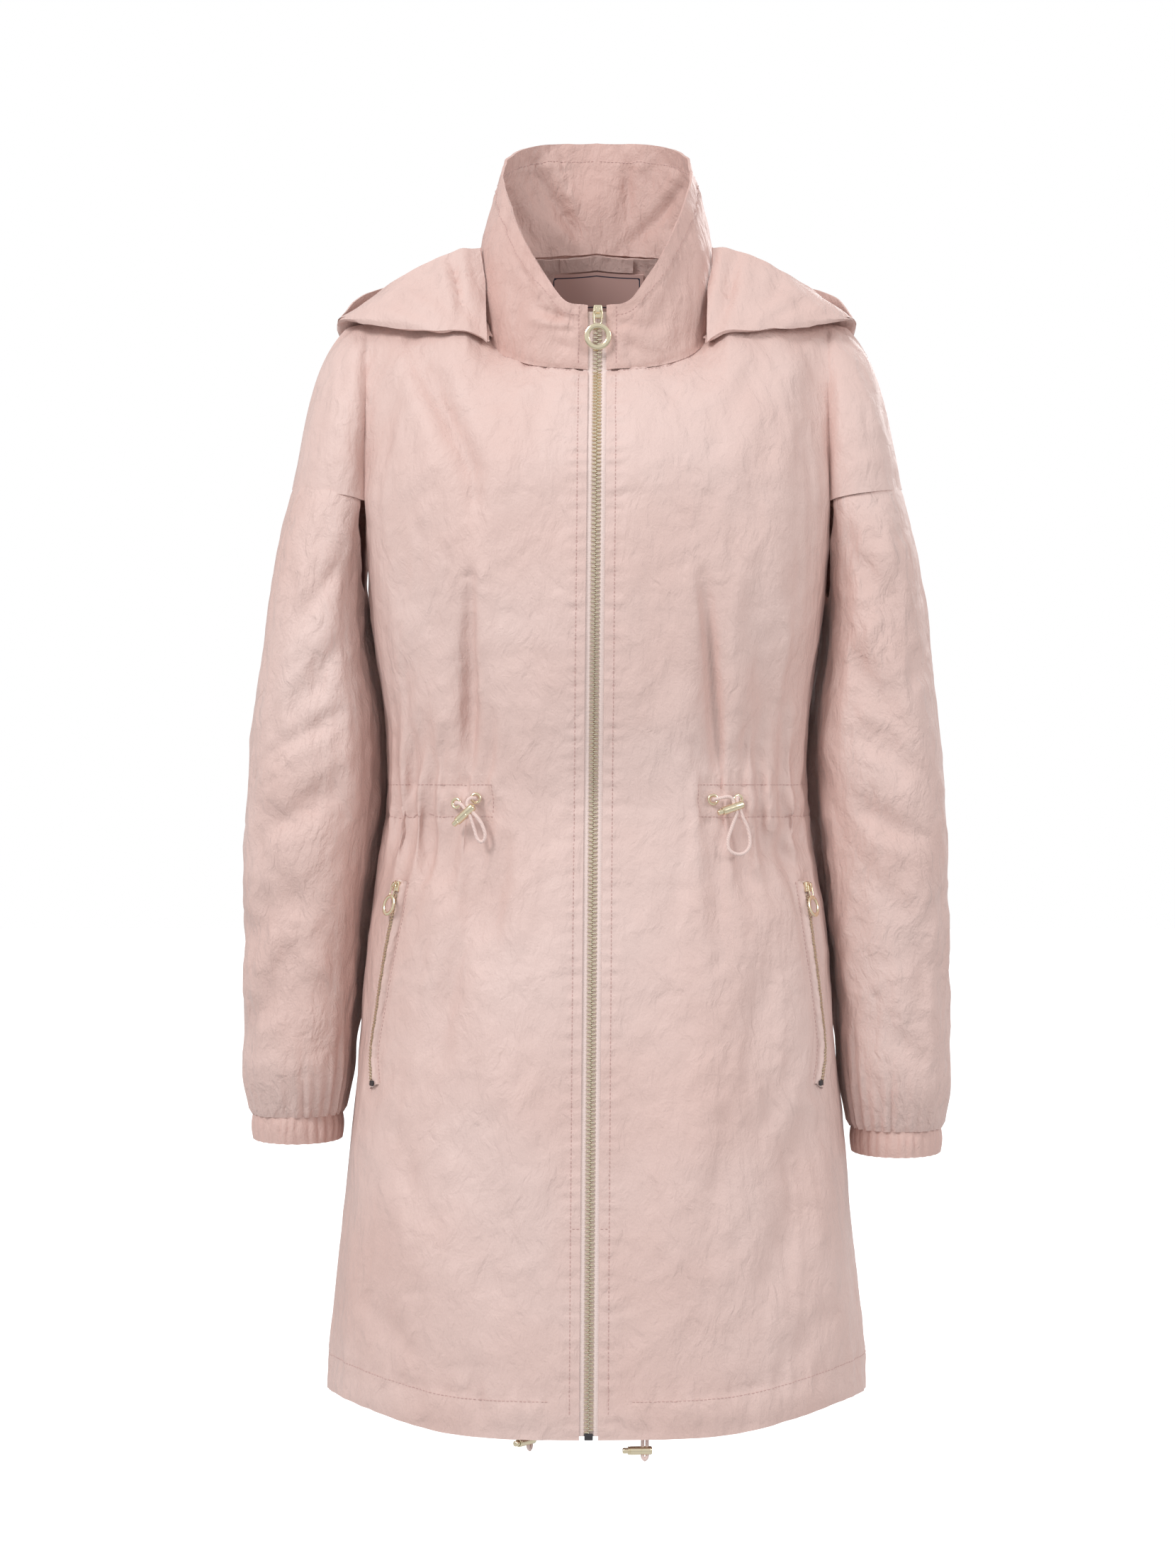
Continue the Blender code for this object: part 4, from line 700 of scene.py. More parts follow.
class Graph:
    """A shader tree, with nodes added one by one."""

    def __init__(self, tree: bpy.types.NodeTree) -> None:
        """Keeps the tree."""
        self.tree = tree

    def feed(self, target: bpy.types.NodeSocket, value: object) -> None:
        """Links a socket to an input, or sets the input to a value."""
        if isinstance(value, bpy.types.NodeSocket):
            self.tree.links.new(value, target)
        else:
            target.default_value = value

    def node(self, kind: str, values: dict | None = None, **settings: object) -> bpy.types.Node:
        """Adds a node.

        Args:
            kind: The node's type, without the prefix that all shader nodes have.
            values: For each input, a socket to link from or a value to set.
            **settings: Properties of the node.

        Returns:
            The new node.
        """
        made = self.tree.nodes.new(f"ShaderNode{kind}")
        for key, value in settings.items():
            setattr(made, key, value)
        for key, value in (values or {}).items():
            self.feed(made.inputs[key], value)
        return made

    def math(self, operation: str, *values: object, clamp: bool = False) -> bpy.types.NodeSocket:
        """The result of a calculation."""
        return self.node("Math", dict(enumerate(values)), operation=operation, use_clamp=clamp).outputs[0]

    def noise(self, at: bpy.types.NodeSocket, scale: float, detail: float) -> bpy.types.NodeSocket:
        """A noise value."""
        return self.node("TexNoise", {"Vector": at, "Scale": scale, "Detail": detail}).outputs[0]

    def blend(self, factor: bpy.types.NodeSocket, low: Color, high: Color) -> bpy.types.NodeSocket:
        """A colour between two others."""
        return self.node("Mix", {"Factor": factor, 6: (*low, 1), 7: (*high, 1)}, data_type="RGBA").outputs[2]

    def bump(self, strength: float, distance: float, height: object, **normal: object) -> bpy.types.NodeSocket:
        """A normal bent by a height, on top of another normal where one is given."""
        return self.node("Bump", {"Strength": strength, "Distance": distance, "Height": height, **normal}).outputs[0]


class Group(Graph):
    """A shared shader group in the making."""

    def __init__(self, name: str, inputs: tuple[str, ...], outputs: tuple[str, ...]) -> None:
        """Makes the group's sockets: a vector for the coordinates, and plain values."""
        super().__init__(bpy.data.node_groups.new(name, "ShaderNodeTree"))
        for way, labels in (("INPUT", inputs), ("OUTPUT", outputs)):
            for label in labels:
                kind = "NodeSocketVector" if label == SOCKETS.coordinates else "NodeSocketFloat"
                self.tree.interface.new_socket(label, in_out=way, socket_type=kind)
        self.entry = self.tree.nodes.new("NodeGroupInput").outputs
        self.exit = self.tree.nodes.new("NodeGroupOutput").inputs


@cache
def nylon_group() -> bpy.types.NodeTree:
    """Crisp crinkles of thin nylon: a height for bump and a tone for colour."""
    group = Group("Nylon crinkle", (SOCKETS.coordinates,), (SOCKETS.height, SOCKETS.tone))
    at = group.entry[SOCKETS.coordinates]
    warp = group.node("TexNoise", {"Vector": at, "Scale": 22.0, "Detail": 3.0})
    bent = group.node("Mix", {"Factor": 0.035, 4: at, 5: warp.outputs["Color"]}, data_type="VECTOR").outputs[1]
    stretched = group.node("Mapping", {"Vector": bent, "Scale": (1.0, 1.0, 0.30)}).outputs[0]
    folds = group.math("MULTIPLY", group.noise(stretched, 120.0, 4.0), 0.9)
    facets = group.node("TexVoronoi", {"Vector": bent, "Scale": 62.0}, feature="SMOOTH_F1").outputs[0]
    coarse = group.math("MULTIPLY_ADD", facets, 0.55, folds)
    height = group.math("MULTIPLY_ADD", group.noise(at, 620.0, 2.0), 0.10, coarse)
    group.feed(group.exit[SOCKETS.height], height)
    group.feed(group.exit[SOCKETS.tone], group.noise(at, 7.0, 3.0))
    return group.tree


@cache
def weave_group() -> bpy.types.NodeTree:
    """A plain weave in the cloth's own two directions."""
    group = Group("Plain weave", (SOCKETS.coordinates, SOCKETS.pitch), (SOCKETS.height,))
    turns = group.math("DIVIDE", 2 * math.pi, group.entry[SOCKETS.pitch])
    values = {0: group.entry[SOCKETS.coordinates], "Scale": turns}
    scaled = group.node("VectorMath", values, operation="SCALE").outputs[0]
    parts = group.node("SeparateXYZ", {0: scaled}).outputs
    waves = (group.math("SINE", parts[0]), group.math("SINE", parts[1]))
    group.feed(group.exit[SOCKETS.height], group.math("MULTIPLY", *waves))
    return group.tree


@dataclass(frozen=True)
class Finish:
    """A named material."""

    name: str

    def inputs(self, graph: Graph) -> dict[str, object]:
        """The shader's inputs, each a socket or a value."""
        raise NotImplementedError

    def build(self) -> bpy.types.Material:
        """Makes the material."""
        made = bpy.data.materials.new(self.name)
        made.use_nodes = True
        graph = Graph(made.node_tree)
        for key, value in self.inputs(graph).items():
            graph.feed(made.node_tree.nodes["Principled BSDF"].inputs[key], value)
        return made


@dataclass(frozen=True)
class NylonFinish(Finish):
    """Thin woven nylon: two close pinks, the deeper one also painted as shade towards grazing views, crinkle and weave
    in the bump, and a soft sheen.
    """

    light: Color
    deep: Color
    crinkle: float = 0.9
    roughness: float = 0.52
    sheen: float = 0.25
    thread: float = 0.7 * MM
    relief: float = 2.9 * MM

    def inputs(self, graph: Graph) -> dict[str, object]:
        """The shader's inputs: the colour deepens in random patches, and towards grazing views as painted shade."""
        at = graph.node("TexCoord").outputs["Object"]
        cloth = graph.node("Attribute", attribute_name="cloth").outputs["Vector"]
        crinkle = graph.node("Group", {SOCKETS.coordinates: at}, node_tree=nylon_group()).outputs
        values = {SOCKETS.coordinates: cloth, SOCKETS.pitch: self.thread}
        weave = graph.node("Group", values, node_tree=weave_group()).outputs
        creased = graph.bump(self.crinkle, self.relief, crinkle[SOCKETS.height])
        tone = graph.node("MapRange", {0: crinkle[SOCKETS.tone], 1: 0.35, 2: 0.65}).outputs[0]
        # Painted shade: the colour turns towards the deep pink where the surface faces away from the view
        edge = graph.math("MULTIPLY", graph.node("LayerWeight", {"Blend": 0.35}).outputs["Facing"], 0.55)
        depth = graph.math("MULTIPLY_ADD", tone, 0.5, edge, clamp=True)
        return {
            "Base Color": graph.blend(depth, self.light, self.deep),
            "Normal": graph.bump(0.25, 0.05 * MM, weave[SOCKETS.height], Normal=creased),
            "Roughness": self.roughness,
            "Sheen Weight": self.sheen,
            "Sheen Roughness": 0.4,
            "Sheen Tint": (1.0, 0.93, 0.91, 1),
            "Specular IOR Level": 0.35,
        }


@dataclass(frozen=True)
class BraidFinish(Finish):
    """Ribbed or braided thread, as on tape, cord and stitches."""

    color: Color
    scale: float
    direction: str = "Z"
    strength: float = 0.4
    # Painted shade: how dark the grooves between the ribs are painted
    groove: float = 0.86

    def inputs(self, graph: Graph) -> dict[str, object]:
        """The shader's inputs: ribs in the bump, with painted shade in the grooves."""
        at = graph.node("TexCoord").outputs["Object"]
        values = {"Vector": at, "Scale": self.scale, "Distortion": 1.5, "Detail": 1.0}
        ribs = graph.node("TexWave", values, bands_direction=self.direction).outputs["Fac"]
        return {
            "Base Color": graph.blend(ribs, tuple(value * self.groove for value in self.color), self.color),
            "Normal": graph.bump(self.strength, 0.2 * MM, ribs),
            "Roughness": 0.75,
            "Sheen Weight": 0.3,
        }


@dataclass(frozen=True)
class MetalFinish(Finish):
    """Plated metal with faint polishing marks and slightly duller patches."""

    color: Color
    roughness: float = 0.2
    metallic: float = 1.0

    def inputs(self, graph: Graph) -> dict[str, object]:
        """The shader's inputs: one noise bends the normal and varies the roughness."""
        marks = graph.noise(graph.node("TexCoord").outputs["Object"], 900.0, 3.0)
        spread = {0: marks, 3: self.roughness * 0.7, 4: self.roughness * 1.5}
        return {
            "Base Color": (*self.color, 1),
            "Normal": graph.bump(0.15, 0.05 * MM, marks),
            "Roughness": graph.node("MapRange", spread).outputs[0],
            "Metallic": self.metallic,
        }


@dataclass(frozen=True)
class LabelFinish(Finish):
    """A bare woven label, of cloth colour, with a thin dark border line."""

    color: Color
    line: Color
    inset: float = 3.0 * MM
    width: float = 0.9 * MM
    thread: float = 0.6 * MM

    def inputs(self, graph: Graph) -> dict[str, object]:
        """The shader's inputs: the cloth attribute holds the distance from the label's edge in Z."""
        cloth = graph.node("Attribute", attribute_name="cloth").outputs["Vector"]
        values = {SOCKETS.coordinates: cloth, SOCKETS.pitch: self.thread}
        weave = graph.node("Group", values, node_tree=weave_group()).outputs[SOCKETS.height]
        away = graph.node("SeparateXYZ", {0: cloth}).outputs[2]
        return {
            "Base Color": graph.blend(graph.math("COMPARE", away, self.inset, self.width / 2), self.color, self.line),
            "Normal": graph.bump(0.3, 0.06 * MM, weave),
            "Roughness": 0.6,
        }


@dataclass(frozen=True)
class FloorFinish(Finish):
    """A matt floor that is nearly white to the camera and throws little light back."""

    grey: float = 0.58
    glow: float = 0.9

    def inputs(self, graph: Graph) -> dict[str, object]:
        """The shader's inputs: it glows for the camera alone."""
        seen = graph.node("LightPath").outputs["Is Camera Ray"]
        return {
            "Base Color": (self.grey, self.grey, self.grey, 1),
            "Roughness": 0.9,
            "Emission Color": (1, 1, 1, 1),
            "Emission Strength": graph.node("MapRange", {0: seen, 4: self.glow}).outputs[0],
        }


FINISHES = {
    finish.name: finish
    for finish in (
        # Each deep pink serves for random patches and for painted shade towards grazing views
        NylonFinish("shell_nylon", (0.74, 0.56, 0.517), (0.66, 0.445, 0.395)),
        NylonFinish("sleeve_nylon", (0.74, 0.56, 0.517), (0.66, 0.445, 0.395), relief=4.4 * MM),
        NylonFinish("collar_nylon", (0.71, 0.50, 0.45), (0.60, 0.365, 0.32), relief=3.6 * MM),
        BraidFinish("ribbon_weave", (0.88, 0.72, 0.68), 420.0),
        BraidFinish("cord_braid", (0.86, 0.66, 0.61), 300.0, "DIAGONAL", 0.6),
        BraidFinish("thread", (0.62, 0.40, 0.37), 900.0, "DIAGONAL"),
        MetalFinish("pale_gold", (0.86, 0.76, 0.55), 0.16),
        MetalFinish("teeth_gold", (0.84, 0.76, 0.58), 0.24),
        MetalFinish("dark_enamel", (0.06, 0.055, 0.06), 0.35, 0.5),
        LabelFinish("label_weave", (0.72, 0.49, 0.45), (0.035, 0.04, 0.07)),
        FloorFinish("pale_floor"),
    )
}


@cache
def finish_material(name: str) -> bpy.types.Material:
    """The material of a finish, built when it is first used."""
    return FINISHES[name].build()


def declare(item: bpy.types.Object, node: str | None = None, body: str = "garment") -> None:
    """Hangs a piece under the empty of the body that it rides on, and hides the solid that it stands for."""
    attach(item, body)
    if node is not None:
        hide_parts(node)


def add_piece(name: str, places, faces, finish: str, cloth=None, angle: float = 60.0) -> bpy.types.Object:
    """Makes a smooth mesh object.

    Args:
        name: The object's name.
        places: Its points.
        faces: Its faces, as point numbers.
        finish: The name of its finish.
        cloth: For each point, its place on the flat cloth.
        angle: Edges sharper than this stay sharp.

    Returns:
        The object.
    """
    mesh = bpy.data.meshes.new(name)
    mesh.from_pydata([tuple(place) for place in places], [], [tuple(face) for face in faces])
    if cloth is not None:
        layer = mesh.attributes.new("cloth", "FLOAT_VECTOR", "POINT")
        layer.data.foreach_set("vector", np.asarray(cloth, np.float32).ravel())
    mesh.shade_smooth()
    mesh.set_sharp_from_angle(angle=math.radians(angle))
    mesh.materials.append(finish_material(finish))
    item = bpy.data.objects.new(name, mesh)
    bpy.context.scene.collection.objects.link(item)
    return item


class ClothSheet:
    """Grids of points that share their borders, raised by relief and given a real thickness."""

    weld_step = 0.05 * MM

    def __init__(self) -> None:
        """Starts with no grid."""
        self.places = np.zeros((0, 3))
        self.cloth = np.zeros((0, 3))
        self.faces = np.zeros((0, 4), int)

    def grid(self, places: np.ndarray, flip: bool = False, cloth: np.ndarray | None = None) -> None:
        """Adds a grid of points.

        Args:
            places: Points in rows and columns.
            flip: Whether the faces turn the other way round.
            cloth: Each point's place on the flat cloth, or None to measure it along the grid.
        """
        rows, columns = places.shape[:2]
        if cloth is None:
            across, down = flat_sizes(places)
            cloth = stacked(across[None, :], down[:, None], 0.0)
        index = np.arange(rows * columns).reshape(rows, columns) + len(self.places)
        quads = np.stack([index[:-1, :-1], index[:-1, 1:], index[1:, 1:], index[1:, :-1]], axis=-1).reshape(-1, 4)
        self.places = np.vstack([self.places, places.reshape(-1, 3)])
        self.cloth = np.vstack([self.cloth, cloth.reshape(-1, 3)])
        self.faces = np.vstack([self.faces, quads[:, ::-1] if flip else quads])

    def weld(self) -> None:
        """Joins points of neighbouring grids that lie at the same place."""
        keys = np.round(self.places / self.weld_step).astype(np.int64)
        _, first, inverse = np.unique(keys, axis=0, return_index=True, return_inverse=True)
        inverse = inverse.ravel()
        self.places = self.places[first]
        self.cloth = self.cloth[first]
        self.faces = inverse[self.faces]

    def normals(self) -> np.ndarray:
        """The outward direction at each point."""
        a, b, c, d = (self.places[self.faces[:, i]] for i in range(4))
        face = np.cross(c - a, d - b)
        total = np.zeros_like(self.places)
        for i in range(4):
            np.add.at(total, self.faces[:, i], face)
        return unit(total)

    def raise_by(self, height: np.ndarray) -> None:
        """Moves each point out along its normal."""
        self.places = self.places + self.normals() * height[:, None]

    def tree(self) -> BVHTree:
        """A search tree of the outer side."""
        return BVHTree.FromPolygons([Vector(place) for place in self.places], self.faces.tolist())

    def solid(self, name: str, thickness: float, finish: str) -> bpy.types.Object:
        """Makes the piece, with its outer side here and its inner side a thickness further in."""
        normals = self.normals()
        flat = np.abs(self.places[:, 1]) <= SEAM
        normals[flat, 1] = 0
        inner = self.places - unit(normals) * thickness
        count = len(self.places)
        starts = self.faces.ravel()
        ends = np.roll(self.faces, -1, axis=1).ravel()
        forward = starts.astype(np.int64) * count + ends
        backward = ends.astype(np.int64) * count + starts
        open_edges = ~np.isin(forward, backward)
        rim = np.stack(
            [ends[open_edges], starts[open_edges], starts[open_edges] + count, ends[open_edges] + count], axis=-1
        )
        faces = np.vstack([self.faces, self.faces[:, ::-1] + count, rim])
        return add_piece(
            name, np.vstack([self.places, inner]), faces.tolist(), finish, np.vstack([self.cloth, self.cloth])
        )

    def dress(self, node: str, thickness: float, finish: str, flat: tuple[float, float], **held: object) -> None:
        """Args:
            node: The solid that it stands for.
            thickness: The cloth's thickness.
            finish: The name of its finish.
            flat: Its width and length when it lies flat; not used.
            **held: How it is held, and what it rests on; not used.
        """
        item = self.solid(f"{node}_cloth", thickness, finish)
        declare(item, node)


@dataclass
class Panel:
    """One front, or the back, of the body: its outer face from the hem to the neck and shoulder seams."""

    name: str
    sides: tuple[int, ...]
    is_front: bool
    spacing: float
    thickness: float = 1.3 * MM
    seam_gap: float = 0.04 * MM
    sheet: ClothSheet = field(default_factory=ClothSheet)

    def shifted(self, places: np.ndarray) -> np.ndarray:
        """Half of the gap at the seams between front and back."""
        places[..., 1] += -self.seam_gap / 2 if self.is_front else self.seam_gap / 2
        return places

    def angles(self, low: float, high: float, length: float) -> np.ndarray:
        """Angles round the body, from the centre, about one spacing apart."""
        angles = np.linspace(low, high, max(6, round(length / self.spacing)) + 1)
        return angles if self.is_front else 180 - angles

    def build(self) -> None:
        """Makes the smooth face, half by half."""
        for side in self.sides:
            flip = (side > 0) != self.is_front
            trunk = self.angles(0, CREASE_ANGLE, 0.26)
            flank = self.angles(CREASE_ANGLE, 90, 0.085)
            drops = np.linspace(ARM_DROP, HEM_DROP, round(0.66 / self.spacing) + 1)[:, None]
            self.sheet.grid(self.shifted(FORM.low(side, trunk, FORM.row_drop(trunk, drops))), not flip)
            self.sheet.grid(self.shifted(FORM.low(side, flank, FORM.row_drop(flank, drops))), not flip)
            rise = np.linspace(0, 1, round(0.18 / self.spacing) + 1)
            across = np.linspace(0, 1, len(trunk))
            self.sheet.grid(self.shifted(FORM.high(side, self.is_front, across, rise)), flip)
            cap = np.linspace(1, 2, round(0.09 / self.spacing) + 1)
            self.sheet.grid(self.shifted(FORM.high(side, self.is_front, cap, rise)), flip)
        self.sheet.weld()

    def wrinkle(self) -> None:
        """Adds the creases, crinkles, and the puckers beside the stitched lines."""
        places = self.sheet.places
        x, drop = np.abs(places[:, 0]), -places[:, 2]
        height = RELIEF.crinkles(places)
        for side in self.sides:
            here = places[:, 0] * side > 0
            folds = fold_lift(FRONT_CREASES, PANEL_KEYS, x, drop, side)
            height += np.where(here, RELIEF.crease_gain * folds, 0.0)
        shift = DRIFT.read("drop", drop, "shift") if self.is_front else 0.0
        from_centre = np.abs(places[:, 0] - shift)
        if self.is_front:
            height *= 0.15 + 0.85 * ramp(from_centre, 0.008, 0.030)
            height += RELIEF.pucker(drop, np.abs(from_centre - Stitching.placket), 5 * MM, 11 * MM)
        turn = np.degrees(np.arctan2(x, -places[:, 1]))
        hem_line = FORM.row_drop(turn, STITCH_DROP)
        height += RELIEF.pucker(from_centre, np.abs(drop - hem_line), 9 * MM, 17 * MM)
        start = ramp(x, CHANNEL_START, CHANNEL_START + 0.01) if self.is_front else 1.0
        for line in Stitching.channel:
            height += start * 1.5 * RELIEF.pucker(from_centre, np.abs(drop - line), 8 * MM, 12 * MM)
        to_neck = np.abs(drop + NECK.read("angle", turn, "z"))
        height += 0.8 * RELIEF.pucker(from_centre, to_neck, 9 * MM, 15 * MM) * ramp(0.12 - x, 0, 0.03)
        side_seam = ramp(np.abs(places[:, 1]), 1 * MM, 12 * MM)
        self.sheet.raise_by(height * side_seam)

    def calm(self, seats: list, tree: BVHTree) -> None:
        """Lays the cloth on the solid's face where fittings sit on it.

        Args:
            seats: Points under fittings, each with its reach.
            tree: The solid's own faces.
        """
        for centre, reach in seats:
            centre = np.array(centre)
            away = np.linalg.norm(self.sheet.places - centre, axis=1)
            for i in np.flatnonzero(away < reach * 2):
                place = Vector(self.sheet.places[i])
                near, normal, _, _ = tree.find_nearest(place)
                if near is None or normal.y > 0.3:
                    continue
                share = float(1 - ramp(away[i], reach, reach * 2))
                target = near - normal * 0.1 * MM
                self.sheet.places[i] = place.lerp(target, share)

    def dress(self) -> None:
        """Makes the piece in place of its solid."""
        flat = (0.31, 0.90) if self.is_front else (0.60, 0.92)
        self.sheet.dress(self.name, self.thickness, "shell_nylon", flat, held="stretched")


@dataclass
class Sleeve:
    """A sleeve from the armhole seam to the cuff, gathered at its end."""

    side: Side
    cuff_top: float
    cloth: float = 1.2 * MM
    tuck: float = 0.026
    outer_turn: float = 128.0
    inner_turn: float = 104.0
    turn_length: float = 0.65 * MM
    side_columns: int = 6
    armhole_ease: float = 2.2 * MM
    cap_ease: float = 1.6 * MM
    level: float = SIDE_ROW_DROP
    end: float = 0.642
    gathers: int = 27
    gather: float = 2.4 * MM
    blouse: float = 3.5 * MM
    tuck_out: float = 1.7 * MM
    tuck_up: float = 3.0 * MM
    end_in: float = 2.2 * MM
    end_down: float = 1.6 * MM
    sheet: ClothSheet = field(default_factory=ClothSheet)

    def ring(self, angle: Number, drop: Number) -> np.ndarray:
        """Points of the sleeve's ring for the wearer's left, folds included."""
        inner, outer, middle, deep = (
            SLEEVE.read("drop", drop, name) for name in ("inner", "outer", "middle", "deep")
        )
        turn = np.radians(angle)
        half = (outer - inner) / 2
        away = np.sign(np.cos(turn)) * np.abs(np.cos(turn)) ** ROUNDNESS
        ahead = np.sign(np.sin(turn)) * np.abs(np.sin(turn)) ** ROUNDNESS
        place = stacked((inner + outer) / 2 + half * away, middle - deep * ahead, -drop)
        fade = np.clip((drop - 0.25) / 0.06, 0, 1) * np.clip((0.62 - drop) / 0.09, 0, 1)
        tucked = (away < 0) & (ahead < 0)
        place[..., 0] -= np.where(tucked, self.tuck * away * ahead * fade, 0.0)
        signed = (np.asarray(angle) + 180) % 360 - 180
        lift = np.zeros(np.broadcast(angle, drop).shape)
        for folds, gain in ((SLEEVE_FOLDS, 1.0), (SLEEVE_CREASES, RELIEF.crease_gain)):
            flat = folds.scaled(self.turn_length, "angle_top", "angle_bottom")
            lift = lift + gain * fold_lift(flat, RING_KEYS, signed * self.turn_length, drop, self.side.value)
        lift = lift * (1 - ramp(np.abs(signed), 112, 130))
        return place + unit(stacked(away, -ahead, 0.0)) * lift[..., None]

    def armhole(self, outer: np.ndarray, inner: np.ndarray) -> np.ndarray:
        """The edge at the armhole, for positions along the cap and then under the arm."""
        points = []
        for i in outer:
            is_front = i <= CAP_COLUMNS
            out = i / CAP_COLUMNS if is_front else 2 - i / CAP_COLUMNS
            place = FORM.cap_edge(bool(is_front), out)
            place[2] -= 1.5 * SEAM
            place[0] += self.cap_ease * (1 - out) ** 2
            points.append(place)
        for i in inner:
            angle = mix(180 - CREASE_ANGLE, CREASE_ANGLE, i / self.side_columns)
            place = FORM.low(1, angle, FORM.side_drop(angle), gathered=False)
            place[0] += self.armhole_ease
            points.append(place)
        return np.array(points)

    def build(self, spacing: float) -> None:
        """Makes the tube.

        Args:
            spacing: About how far apart its points lie.
        """
        outer = np.linspace(0, 2 * CAP_COLUMNS, round(0.22 / spacing) + 1)
        inner = np.linspace(0, self.side_columns, round(0.13 / spacing) + 1)[1:-1]
        angles = np.concatenate(
            [
                self.outer_turn * (1 - outer / CAP_COLUMNS),
                -self.outer_turn - self.inner_turn * inner / self.side_columns,
            ]
        )
        start = self.armhole(outer, inner)
        steps = np.linspace(0, 1, round(0.10 / spacing) + 1)
        drops = np.linspace(self.level, self.end, round((self.end - self.level) / spacing) + 1)[1:]
        levels = np.concatenate([np.full(len(steps), self.level), drops])[:, None]
        steps = np.concatenate([steps, np.ones(len(drops))])[:, None]
        drop = mix(-start[None, :, 2], levels, steps)
        seam = self.ring(angles[None, :], np.broadcast_to(-start[None, :, 2], drop.shape))
        place = self.ring(np.broadcast_to(angles[None, :], drop.shape), drop)
        offset = start[None] - seam
        offset[..., 2] = 0
        place = place + offset * ((1 - steps) ** 2)[..., None]
        down = np.clip((drop - 0.5) / (self.end - 0.5), 0, 1)
        centre = (SLEEVE.read("drop", drop, "inner") + SLEEVE.read("drop", drop, "outer")) / 2
        outward = unit(stacked(place[..., 0] - centre, place[..., 1], 0.0))
        turn = np.radians(angles)[None, :]
        uneven = 0.6 + 0.4 * np.sin(turn * 5 + 1.3) * np.sin(turn * 3)
        reach = np.clip((drop - 0.580 - 0.02 * np.sin(turn * 7)) / 0.05, 0, 1)
        wave = np.cos(self.gathers * turn + 0.8 * np.sin(turn * 4))
        place = place + outward * (self.gather * uneven * reach * wave)[..., None]
        place = place + outward * (self.blouse * bell(drop - 0.612, 0.022))[..., None]
        place[..., 2] -= (self.cuff_top - SEAM - self.end) * down
        place[0] -= outward[0] * self.tuck_out
        place[0, :, 2] += self.tuck_up
        place[-1] -= outward[-1] * self.end_in
        place[-1, :, 2] -= self.end_down
        place[..., 0] *= self.side.value
        place = np.concatenate([place, place[:, :1]], axis=1)
        self.sheet.grid(place, self.side.value > 0)
        self.sheet.weld()
        points = self.sheet.places
        height = 1.7 * RELIEF.crinkles(points) * ramp(-points[:, 2], 0.185, 0.22)
        height *= 1 - 0.7 * ramp(-points[:, 2], 0.58, 0.63)
        self.sheet.raise_by(height)

    def dress(self) -> None:
        """Makes the piece in place of its solid."""
        self.sheet.dress(f"sleeve_{self.side.word}", self.cloth, "sleeve_nylon", (0.42, 0.50), held="gathered")


@dataclass
class Cuff:
    """An elasticated cuff with even ruches that part and join."""

    side: Side
    top: float
    ruches: int = 28
    ruche: float = 1.1 * MM
    bulge: float = 0.9 * MM
    height: float = 19.5 * MM
    centre: float = 0.2235
    half: float = 0.033
    deep: float = 0.037
    dip: float = 1.5 * MM
    cloth: float = 1.6 * MM
    sheet: ClothSheet = field(default_factory=ClothSheet)

    def build(self) -> None:
        """Makes the ruched band."""
        turn = np.linspace(0, 2 * math.pi, self.ruches * 9 + 1)[None, :]
        share = np.linspace(0, 1, 13)[:, None]
        phase = self.ruches * turn + 0.5 * np.sin(turn * 4 + share * 2.2) + 0.35 * np.sin(turn * 9)
        swell = 0.55 + 0.45 * np.sin(math.pi * np.clip(share, 0.04, 0.96))
        ruche = self.ruche * swell * (1.2 * np.abs(np.cos(phase / 2)) - 0.6) * (1 + 0.3 * np.sin(turn * 6))
        bulge = self.bulge * np.sin(math.pi * share)
        x = self.centre + (self.half + ruche + bulge) * np.cos(turn)
        y = -(self.deep + ruche + bulge) * np.sin(turn)
        z = -self.top - self.height * share - self.dip * np.sin(turn) * share + 0.2 * MM * np.cos(phase) * share
        place = stacked(x * self.side.value, y, z)
        self.sheet.grid(place, self.side.value < 0)
        self.sheet.weld()

    def dress(self) -> None:
        """Makes the piece in place of its solid."""
        self.sheet.dress(f"cuff_{self.side.word}", self.cloth, "collar_nylon", (0.34, 0.02), held="gathered")


@dataclass
class Collar:
    """The stand collar, with its zip edges, casing and the folds of its back."""

    thickness: float = 1.8 * MM
    sheet: ClothSheet = field(default_factory=ClothSheet)

    def build(self) -> None:
        """Makes the collar's outer face, folded and creased."""
        angles = np.linspace(0, 180, 90)
        rise = np.linspace(0, 1, 44)[:, None]
        left = FORM.collar(1, angles, rise)
        right = FORM.collar(-1, angles, rise)
        whole = np.concatenate([left, right[:, -2::-1]], axis=1)
        self.sheet.grid(whole)
        self.sheet.weld()
        places = self.sheet.places
        x, y, z = places.T
        height = 0.9 * RELIEF.crinkles(places * 1.35)
        folds = fold_lift(COLLAR_FOLDS, FACE_KEYS, x, z)
        height += np.where(y > 0, folds * ramp(y, 0.01, 0.03), 0.0)
        turn = np.degrees(np.arctan2(np.abs(x), -y))
        top = COLLAR_TOP.read("angle", turn, "z")
        height += RELIEF.pucker(x + y, np.abs(top - z - Stitching.casing), 5 * MM, 10 * MM)
        base = NECK.read("angle", turn, "z")
        height += 0.9 * RELIEF.pucker(x - y, np.abs(z - base), 9 * MM, 14 * MM)
        near_zip = ramp(np.abs(x), 0.008, 0.02)
        pulled = fold_lift(COLLAR_PULLS, FACE_KEYS, x, z)
        height += np.where(y < 0, pulled, 0.0)
        self.sheet.raise_by(height * (0.1 + 0.9 * near_zip))

    def dress(self) -> None:
        """Makes the piece in place of its solid."""
        self.sheet.dress("collar", self.thickness, "collar_nylon", (0.52, 0.14), held="stretched")


